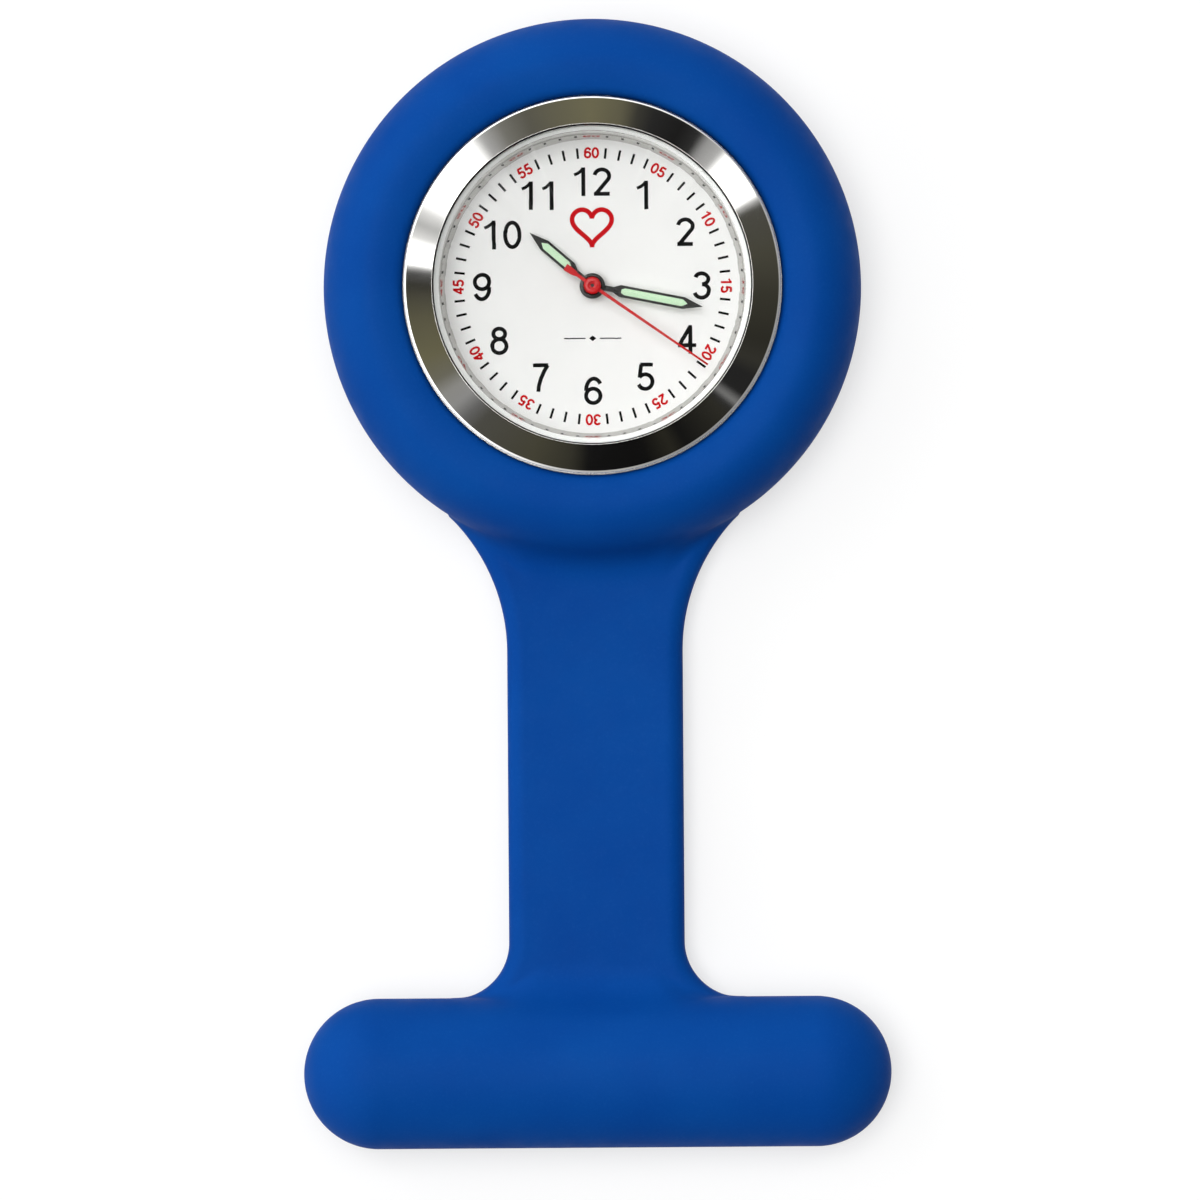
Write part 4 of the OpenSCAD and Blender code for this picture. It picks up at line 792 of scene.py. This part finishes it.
def make_bezel():
    """Bezel: press-fit wall, small outer chamfer, one broad polished slope, thin inner rim."""
    wall_top = shoulder_z + BEZEL_WALL
    opening = gasket_r - BEZEL_OVERHANG
    seat_r, seat_z, neck_top = gasket_r - GASKET_W, gasket_z - SEAT_DROP, shoulder_z + NECK_H
    head_part("bezel_polished", "bezel", "bezel_chrome", chrome, [
        (bezel_r, shoulder_z, 0.08),
        (bezel_r, wall_top, 0.04),
        (bezel_r - CHAMFER_W, wall_top + CHAMFER_H, 0.03),
        (opening + 0.02, bezel_top, 0.02),
        (opening, bezel_top - 0.03, 0.01),
        (opening, gasket_top + 0.02, 0.01),
        (gasket_r, gasket_top + 0.02, 0),
        (gasket_r, gasket_z, 0),
        (seat_r, gasket_z, 0.03),
        (seat_r, seat_z, 0.03),
        (BORE_R, seat_z, 0),
        (BORE_R, neck_top, 0),
        (NECK_R, neck_top, 0),
        (NECK_R, shoulder_z, 0),
    ], segments=360)


def make_crystal():
    """Crystal: flat mineral glass with a ground bevel."""
    head_part("crystal_ground", "crystal", "crystal_glass", glass, [
        (0, crystal_z, 0),
        (crystal_r, crystal_z, 0.04),
        (crystal_r, crystal_top - CRYSTAL_BEVEL_H, 0.03),
        (crystal_r - CRYSTAL_BEVEL, crystal_top, 0.03),
        (0, crystal_top, 0),
    ], segments=360, closed=False, sharp=3)


def make_gasket():
    """Gasket: an angle ring under and round the crystal."""
    seat_r, lip = gasket_r - GASKET_W, gasket_r - GASKET_LIP
    head_part("crystal_gasket_moulded", "crystal_gasket", "crystal_gasket", nylon, [
        (seat_r, gasket_z, 0),
        (gasket_r, gasket_z, 0),
        (gasket_r, gasket_top, 0.05),
        (lip, gasket_top, 0.05),
        (lip, crystal_z, 0.03),
        (seat_r, crystal_z, 0.03),
    ], segments=360)


def make_rehaut():
    """Silvered flange ring: a bevel at the foot, where the dial's marks are mirrored, then a steeper wall."""
    foot = rehaut_r - REHAUT_W
    head_part("rehaut_moulded", "rehaut_ring", "rehaut_plastic", rehaut_silver, [
        (foot, dial_z, 0.02),
        (rehaut_r, dial_z, 0),
        (rehaut_r, rehaut_top, 0),
        (foot + REHAUT_EDGE, rehaut_top, 0.04),
        (foot + REHAUT_SLOPE, dial_z + REHAUT_SLOPE_H, 0.05),
    ], segments=360)


def make_case_back():
    """Case back: flat brushed middle, rounded slope, flange with its snap rim."""
    slope_r = BACK_FLAT_R + BACK_SLOPE_W
    head_part("case_back_pressed", "case_back", "back_steel", back_steel, [
        (0, 0.0, 0),
        (0, BACK_T, 0),
        (BACK_FLAT_R - 0.35, BACK_T, 0.3),
        (slope_r, BACK_INNER_Z, 0.2),
        (SNAP_IN, BACK_INNER_Z, 0),
        (SNAP_IN, SNAP_Z, 0.1),
        (SNAP_OUT, SNAP_Z, 0.1),
        (SNAP_OUT, BACK_INNER_Z, 0),
        (back_flange_r, BACK_INNER_Z, 0.1),
        (back_flange_r, BACK_FLANGE_Z, 0.1),
        (slope_r, BACK_FLANGE_Z, 0.2),
        (BACK_FLAT_R, 0.0, 0.35),
    ][::-1], closed=False)


make_bezel()
make_crystal()
make_gasket()
make_rehaut()
make_case_back()


# ---------------- dial and its printing

NUMERAL_H = 2.2          # hour numerals
NUMERAL_R = 8.03
NUMERAL_SPREAD = 0.4     # three and nine stand this much farther out
NUMERAL_IN = {10: 0.3}   # and ten a little farther in
MINUTE_H = 0.83          # red minute numerals
MINUTE_R = 10.25
TICK_IN, TICK_OUT, TICK_W = 9.84, 10.65, 0.18
INK_LIFT = 0.012         # the ink stands this far over the dial
INK_STEP = 0.0004        # strokes that cross stand apart by this
DIAL_HOLE_R = 0.9
DIAL_T = 0.4
HEART_Y = 4.75
HEART_SCALE = 1 / 10.5
HEART_W = 0.36
RULE_Y = -4.0
RULE_IN, RULE_OUT, RULE_W = 0.55, 2.2, 0.09
LOZENGE_W, LOZENGE_H = 0.28, 0.22        # half its width and half its height


def arc(cx, cy, rx, ry, start, end, steps=20):
    """Points along part of an ellipse, anticlockwise in degrees."""
    turns = [math.radians(start + (end - start) * i / steps) for i in range(steps + 1)]
    return [(cx + rx * math.cos(a), cy + ry * math.sin(a)) for a in turns]


# Centrelines of each figure at a cap height of 1, with the width of each stroke as a share of the usual one
DIGITS = {
    "0": [(arc(.33, .5, .25, .425, 90, 450, 40), 1)],
    "1": [([(.40, 0), (.40, 1)], 1), ([(.08, .74), (.20, .79), (.31, .87), (.39, .97)], .8)],
    "2": [(arc(.33, .70, .255, .225, 172, -30) + [(.12, .075)], 1), ([(.045, .075), (.60, .075)], 1)],
    "3": [(arc(.31, .735, .225, .19, 165, -90), 1), (arc(.31, .31, .25, .235, 90, -165), 1)],
    "4": [([(.475, 0), (.475, 1)], 1), ([(.455, .93), (.10, .32)], 1), ([(.04, .30), (.68, .30)], 1)],
    "5": [([(.15, .925), (.59, .925)], 1), ([(.185, .925), (.125, .47)], 1),
          (arc(.325, .33, .25, .255, 145, -160), 1)],
    "6": [(arc(.335, .325, .25, .25, 90, 450, 40), 1), (arc(.36, .5, .275, .425, 180, 35), 1)],
    "7": [([(.07, .925), (.60, .925)], 1), ([(.585, .925), (.46, .72), (.34, .45), (.27, .2), (.25, 0)], 1)],
    "8": [(arc(.33, .745, .205, .18, 90, 450, 36), 1), (arc(.33, .315, .25, .24, 90, 450, 36), 1)],
}
DIGITS["9"] = [([(.66 - x, 1 - y) for x, y in line], w) for line, w in DIGITS["6"]]
DIGIT_W, DIGIT_STEP = 0.66, 0.72
STROKE = 0.138           # usual width of a stroke, as a share of the cap height
MINUTE_STROKE = 0.20


class Print:
    """One colour of ink: flat strokes just above the dial's face."""

    def __init__(self, name, material):
        self.name, self.material = name, material
        self.verts, self.faces, self.count = [], [], 0

    def stroke(self, line, width):
        """A ribbon of even width along a centreline, with square ends."""
        p = np.asarray(line, float)
        closed = len(p) > 3 and np.linalg.norm(p[0] - p[-1]) < 1e-6
        step = np.diff(p, axis=0)
        step /= np.linalg.norm(step, axis=1, keepdims=True)
        before = np.vstack([step[-1:] if closed else step[:1], step])
        after = np.vstack([step, step[:1] if closed else step[-1:]])
        along = before + after
        along /= np.linalg.norm(along, axis=1, keepdims=True)
        across = np.stack([-along[:, 1], along[:, 0]], 1)
        mitre = np.clip((before * along).sum(1), 0.4, 1)
        side = across * (width / 2 / mitre)[:, None]
        z = dial_z + INK_LIFT + INK_STEP * (self.count % 8)
        self.count += 1
        first = len(self.verts)
        for a, b in zip(p + side, p - side):
            self.verts += [(a[0], a[1], z), (b[0], b[1], z)]
        for i in range(len(p) - 1):
            k = first + 2 * i
            self.faces.append([k + 1, k + 3, k + 2, k])

    def patch(self, outline):
        """A filled outline."""
        first = len(self.verts)
        z = dial_z + INK_LIFT
        self.verts += [(x, y, z) for x, y in outline]
        self.faces.append(list(range(first, first + len(outline))))

    def figures(self, text, centre, height, turn=0.0, weight=STROKE):
        """Figures centred on a place; turn is clockwise."""
        width = DIGIT_STEP * (len(text) - 1) + DIGIT_W
        for i, digit in enumerate(text):
            for line, share in DIGITS[digit]:
                p = np.asarray(line, float) + [DIGIT_STEP * i - width / 2, -0.5]
                self.stroke(turned(p * height, turn) + centre, weight * height * share)

    def lay(self, body, slot):
        place(mesh_object(self.name, self.verts, self.faces, self.material, smooth=False), body, slot)


def print_minutes(black, red):
    for minute in range(60):
        a = minute * 6
        if minute % 5:
            black.stroke([clock(TICK_IN, a), clock(TICK_OUT, a)], TICK_W)
        else:
            red.figures(f"{minute or 60:02d}", clock(MINUTE_R, a), MINUTE_H, a, MINUTE_STROKE)


def print_hours(black):
    for hour in range(1, 13):
        r = NUMERAL_R + NUMERAL_SPREAD * math.sin(math.radians(hour * 30)) ** 4 - NUMERAL_IN.get(hour, 0.0)
        black.figures(str(hour), clock(r, hour * 30), NUMERAL_H)


def print_heart(red):
    """A plain heart in outline, each half one stroke."""
    for side in (-1, 1):
        half = []
        for i in range(41):
            t = math.pi * (0.03 + 0.94 * i / 40)
            x = 16 * math.sin(t) ** 3
            y = 13 * math.cos(t) - 5 * math.cos(2 * t) - 2 * math.cos(3 * t) - math.cos(4 * t)
            half.append((side * x * HEART_SCALE, HEART_Y + y * HEART_SCALE))
        red.stroke([(0, half[0][1] - 0.05)] + half + [(0, half[-1][1] - 0.16)], HEART_W)


def print_rule(black):
    """A thin rule with a lozenge in its middle."""
    for side in (-1, 1):
        black.stroke([(side * RULE_IN, RULE_Y), (side * RULE_OUT, RULE_Y)], RULE_W)
    black.patch([(-LOZENGE_W, RULE_Y), (0, RULE_Y - LOZENGE_H), (LOZENGE_W, RULE_Y), (0, RULE_Y + LOZENGE_H)])


def make_dial():
    head_part("dial_lacquered", "dial", "dial_paint", dial_white, [
        (DIAL_HOLE_R, dial_z - DIAL_T, 0),
        (dial_r, dial_z - DIAL_T, 0),
        (dial_r, dial_z, 0.05),
        (DIAL_HOLE_R, dial_z, 0.05),
    ])
    black = Print("dial_print_black", print_black)
    red = Print("dial_print_red", print_red)
    print_minutes(black, red)
    print_hours(black)
    print_heart(red)
    print_rule(black)
    black.lay("watch", "dial_paint")
    red.lay("watch", "dial_paint")


make_dial()


# ---------------- hands

HAND_W = 0.92
NECK_W = 0.42
HAND_RIM = 0.19
SHOULDER = 1.65          # from the axis to where a hand starts to widen
SWELL = 0.5
POINT = 1.5
LUME_GAP = 0.1
LUME_POINT = 0.4
LUME_LOW = 0.045         # the paint's rim lies this far under the hand's face
LUME_RIDGE = 0.01        # and its middle this far over it
RIDGE_FOOT, RIDGE_TIP = 0.22, 0.45       # the ridge stops short of both ends
BLADE_EDGE = 0.03
SECONDS_T, SECONDS_EDGE = 0.15, 0.025
SECONDS_HALF, SECONDS_TIP = 0.13, 0.075  # half widths at the hub and at the tip
TAIL, PADDLE = 2.5, 0.28
SECONDS_HUB_R, SECONDS_BORE, ARBOR_R = 0.66, 0.12, 0.13


def reading(node):
    """Which way a hand points, clockwise from twelve, and how far: its farthest point from the middle."""
    points = np.array([v.co[:2] for v in frame["nodes"][node].data.vertices]) / MM
    tip = points[np.argmax(np.hypot(points[:, 0], points[:, 1]))]
    return math.degrees(math.atan2(tip[0], tip[1])), float(np.hypot(*tip))


def both_sides(points):
    """An outline from its right-hand half, foot to tip."""
    return points + [(-x, y) for x, y in reversed(points) if x > 0]


def hand_outline(length):
    """An hour or minute hand that points to twelve."""
    return both_sides([(NECK_W / 2, 0), (NECK_W / 2, SHOULDER), (HAND_W / 2, SHOULDER + SWELL),
                       (HAND_W / 2, length - POINT), (0, length)])


def lume_outline(length):
    """The opening for its luminous filling."""
    half = HAND_W / 2 - HAND_RIM
    foot = SHOULDER + SWELL + LUME_GAP
    point = length - POINT - LUME_GAP
    return both_sides([(half / 2, foot), (half, foot + half), (half, point), (0, point + LUME_POINT)])


def make_lume(node, body, outline, turn, z, top):
    """Luminous paint: a low ridge along the middle of the opening that it fills."""
    n = len(outline)
    foot, tip = outline[0][1], outline[n // 2][1]
    ridge = [(0, foot + RIDGE_FOOT), (0, tip - RIDGE_TIP)]
    verts = [(x, y, top - LUME_LOW) for x, y in turned(outline, turn)]
    verts += [(x, y, z + 0.02) for x, y in turned(outline, turn)]
    verts += [(x, y, top + LUME_RIDGE) for x, y in turned(ridge, turn)]
    a, b = 2 * n, 2 * n + 1
    faces = [[0, 1, a], [1, 2, b, a], [2, 3, b], [3, 4, b], [4, 5, a, b], [5, 6, a], [6, 0, a]]
    faces += [[i + n, (i + 1) % n + n, (i + 1) % n, i] for i in range(n)]
    faces.append([i + n for i in reversed(range(n))])
    place(mesh_object(node + "_paint", verts, faces, lume, smooth=False), body, "lume", node)


def make_hand(kind, body, hub_r, bore):
    """A lacquered hand with a raised ring round its hub, and the luminous paint in its opening."""
    node = kind + "_hand"
    turn, length = reading(node)
    z, top = low(node).z, high(node).z
    inner = lume_outline(length)
    loops = [turned(hand_outline(length), turn), turned(inner[::-1], turn)]
    blade = sheet_metal(node + "_blade", loops, z, top - z, BLADE_EDGE, hand_black)
    hub = lathe(node + "_hub", [
        (bore, z, 0),
        (hub_r, z, 0.04),
        (hub_r, top + 0.06, 0.07),
        (hub_r - 0.22, top + 0.10, 0.05),
        (hub_r - 0.32, top + 0.04, 0.03),
        (bore, top + 0.04, 0.02),
    ], hand_black, 96)
    place(join(node + "_lacquered", [blade, hub]), body, "hand_black", node)
    make_lume(kind + "_lume", body, inner, turn, z, top)


def make_seconds_hand():
    """The red seconds hand: a long taper, a paddle at the tail, a domed hub with the arbor's capped end."""
    node = "seconds_hand"
    turn, length = reading(node)
    z = low(node).z
    top = z + SECONDS_T
    outline = both_sides([(PADDLE * 0.9, -TAIL), (PADDLE, -TAIL * 0.97), (PADDLE * 0.84, -TAIL * 0.7),
                          (SECONDS_HALF, -TAIL * 0.55), (SECONDS_HALF, 0), (SECONDS_TIP, length)])
    blade = sheet_metal("seconds_blade", [turned(outline, turn)], z, SECONDS_T, SECONDS_EDGE, hand_red)
    hub = lathe("seconds_hub", [
        (SECONDS_BORE, z, 0),
        (SECONDS_HUB_R, z, 0.03),
        (SECONDS_HUB_R, top + 0.02, 0.06),
        (SECONDS_HUB_R - 0.14, top + 0.10, 0.06),
        (SECONDS_HUB_R - 0.32, top + 0.12, 0.03),
        (SECONDS_HUB_R - 0.40, top + 0.05, 0.03),
        (SECONDS_BORE, top + 0.05, 0.02),
    ], hand_red, 96)
    cap = lathe("seconds_cap", [
        (0, top, 0),
        (ARBOR_R, top, 0),
        (ARBOR_R, top + 0.08, 0.03),
        (0, top + 0.09, 0),
    ], hand_black, 48, closed=False)
    place(join("seconds_hand_lacquered", [blade, hub, cap]), "seconds_train", "hand_red", node)


make_hand("hour", "hours_train", hub_r=0.98, bore=0.72)
make_hand("minute", "minutes_train", hub_r=0.96, bore=0.45)
make_seconds_hand()


# ---------------- floor, studio and camera

FLOOR_HALF, FLOOR_Z = 3000.0, -0.02
FLOOR_GLOW = 0.60        # the floor's own light for the camera, so that it stays white under a faint shadow
SOFTBOX = 2.8            # the ramp holds colours up to 1, and this lifts its brightest parts
CEILING = 5.35
WALL = 2.2
CEILING_TILT = (8, 31, 3)        # start, end and soft edge, in degrees from straight up
MIRROR_TILT = (34, 58, 2)        # the zone that the bezel's slope mirrors
WALL_TILT = (60, 66)             # the wall comes up between these, and goes on down
CAMERA_PLACE = (0.42, -24.1, 503.4)
CAMERA_TURN = -0.4
CAMERA_LENS, CAMERA_SENSOR = 194.3, 36.0

# Light round the watch in the zone that the bezel mirrors: degrees anticlockwise from three o'clock,
# how bright, and how much blue there is for its red. These levels were worked out from the bezel's
# brightness in the reference photograph, measured every five degrees.
LEFT_AND_TOP = (
    (0, .045, .72), (14, .072, .72), (28, .084, .85), (32, .9, 1), (44, 1, 1), (48, .52, 1),
    (53, .36, 1), (56, .03, 1), (62, .014, 1), (71, .024, 1), (76, .05, .8), (81, .135, .6),
    (90, .174, .55), (104, .135, .68), (110, .12, .78), (118, .20, .88), (124, .42, 1), (131, 1, 1),
    (147, 1, 1), (153, .62, 1), (157, .52, 1), (161, .62, 1), (165, 1, 1), (169, 1, 1), (172, .10, 1),
    (176, .045, .8), (180, .078, .7))
BOTTOM = (
    (180, .078, .7), (187, .115, .6), (200, .157, .55), (208, .17, .75), (213, .31, .95), (218, .31, 1),
    (223, .15, 1), (228, .083, .85), (249, .068, .65), (262, .04, .7), (268, .008, 1), (288, .006, 1),
    (297, .024, .7), (302, .008, 1), (318, .03, .75), (321, .03, 1), (323, .22, 1), (326, .02, 1),
    (333, .02, 1), (338, .038, .8), (345, .03, .75), (360, .045, .72))
# The same for the ceiling and the wall, which are grey
SIDE = ((0, .18), (50, .3), (90, .82), (115, 1), (200, 1), (225, .8), (260, .3), (300, .15), (360, .18))


def make_floor():
    """Pale floor, one-sided, so that the back of the watch can be looked at through it from below."""
    n = Nodes("floor_pale", Specular_IOR_Level=0.05, Emission_Color=(1, 1, 1, 1))
    n.colour(n.mix(n.band(n.noise(60.0), 0.3, 0.7), (0.37, 0.37, 0.37, 1), (0.39, 0.39, 0.39, 1)))
    n.roughness(n.band(n.noise(5.0), 0.3, 0.7, 0.8, 0.9))
    path = n.add("ShaderNodeLightPath").outputs
    mirrored = n.maths("MAXIMUM", path["Is Glossy Ray"], path["Is Transmission Ray"])
    seen = n.maths("MAXIMUM", path["Is Camera Ray"], mirrored)
    n.put(n.shader, "Emission Strength", n.maths("MULTIPLY", seen, FLOOR_GLOW))
    back = n.add("ShaderNodeNewGeometry").outputs["Backfacing"]
    n.mixed_surface(back, n.add("ShaderNodeBsdfTransparent"))
    corners = [(x * FLOOR_HALF, y * FLOOR_HALF, FLOOR_Z) for x, y in ((-1, -1), (1, -1), (1, 1), (-1, 1))]
    mesh_object("floor", corners, [[0, 1, 2, 3]], n.material, smooth=False)


def make_studio():
    """A light tent as the world: a ceiling panel, a pale wall low down, and a dark zone between them.

    In the dark zone, softboxes stand at the upper right and the upper left, narrow strips below them.
    """
    world = bpy.data.worlds.new("studio")
    bpy.context.scene.world = world
    n = Nodes("studio", world)
    way = n.add("ShaderNodeSeparateXYZ", Vector=n.add("ShaderNodeTexCoord").outputs["Generated"]).outputs
    tilt = n.maths("MULTIPLY", n.maths("ARCCOSINE", way["Z"]), 180 / math.pi)
    turn = n.maths("DIVIDE", n.maths("ARCTAN2", way["Y"], way["X"]), 2 * math.pi)
    around = n.maths("WRAP", turn, 1.0, 0.0)

    def panel(start, end, fade):
        """1 between two tilts, with soft edges."""
        starts, ends = n.band(tilt, start - fade, start + fade), n.band(tilt, end + fade, end - fade)
        return n.maths("MULTIPLY", starts, ends)

    def lights(start, end, stops):
        """A ramp over the part of the circle from start to end, in degrees."""
        colours = [((a - start) / (end - start), (v, v * (0.85 + 0.15 * blue), v * blue, 1))
                   for a, v, blue in stops]
        return n.ramp(n.band(around, start / 360, end / 360), colours)

    halves = lights(0, 180, LEFT_AND_TOP), lights(180, 360, BOTTOM)
    zone = n.mix(n.maths("GREATER_THAN", around, 0.5), *halves)
    zone = n.mix(1.0, zone, n.band(zone, 0.5, 1.0, 1.0, SOFTBOX), "MULTIPLY")
    side = lights(0, 360, [(a, v, 1) for a, v in SIDE])
    wall = n.maths("MULTIPLY", n.band(tilt, *WALL_TILT), WALL)
    ceiling = n.maths("MULTIPLY", panel(*CEILING_TILT), CEILING)
    key = n.mix(1.0, n.mix(1.0, wall, ceiling, "ADD"), side, "MULTIPLY")
    light = n.mix(1.0, n.mix(panel(*MIRROR_TILT), (0, 0, 0, 1), zone), key, "ADD")
    n.put(n.shader, "Color", light)
    n.shader.inputs["Strength"].default_value = 1.0


def make_camera():
    """Straight down on the watch, as it is photographed, turned a little."""
    camera = bpy.data.objects.new("camera", bpy.data.cameras.new("camera"))
    bpy.context.scene.collection.objects.link(camera)
    camera.data.sensor_width = CAMERA_SENSOR
    camera.data.lens = CAMERA_LENS
    camera.data.clip_start = 0.01
    camera.location = Vector(CAMERA_PLACE) * MM
    camera.rotation_euler = (0, 0, math.radians(CAMERA_TURN))
    bpy.context.scene.camera = camera


make_floor()
make_studio()
make_camera()
bpy.context.scene.view_settings.view_transform = "Standard"
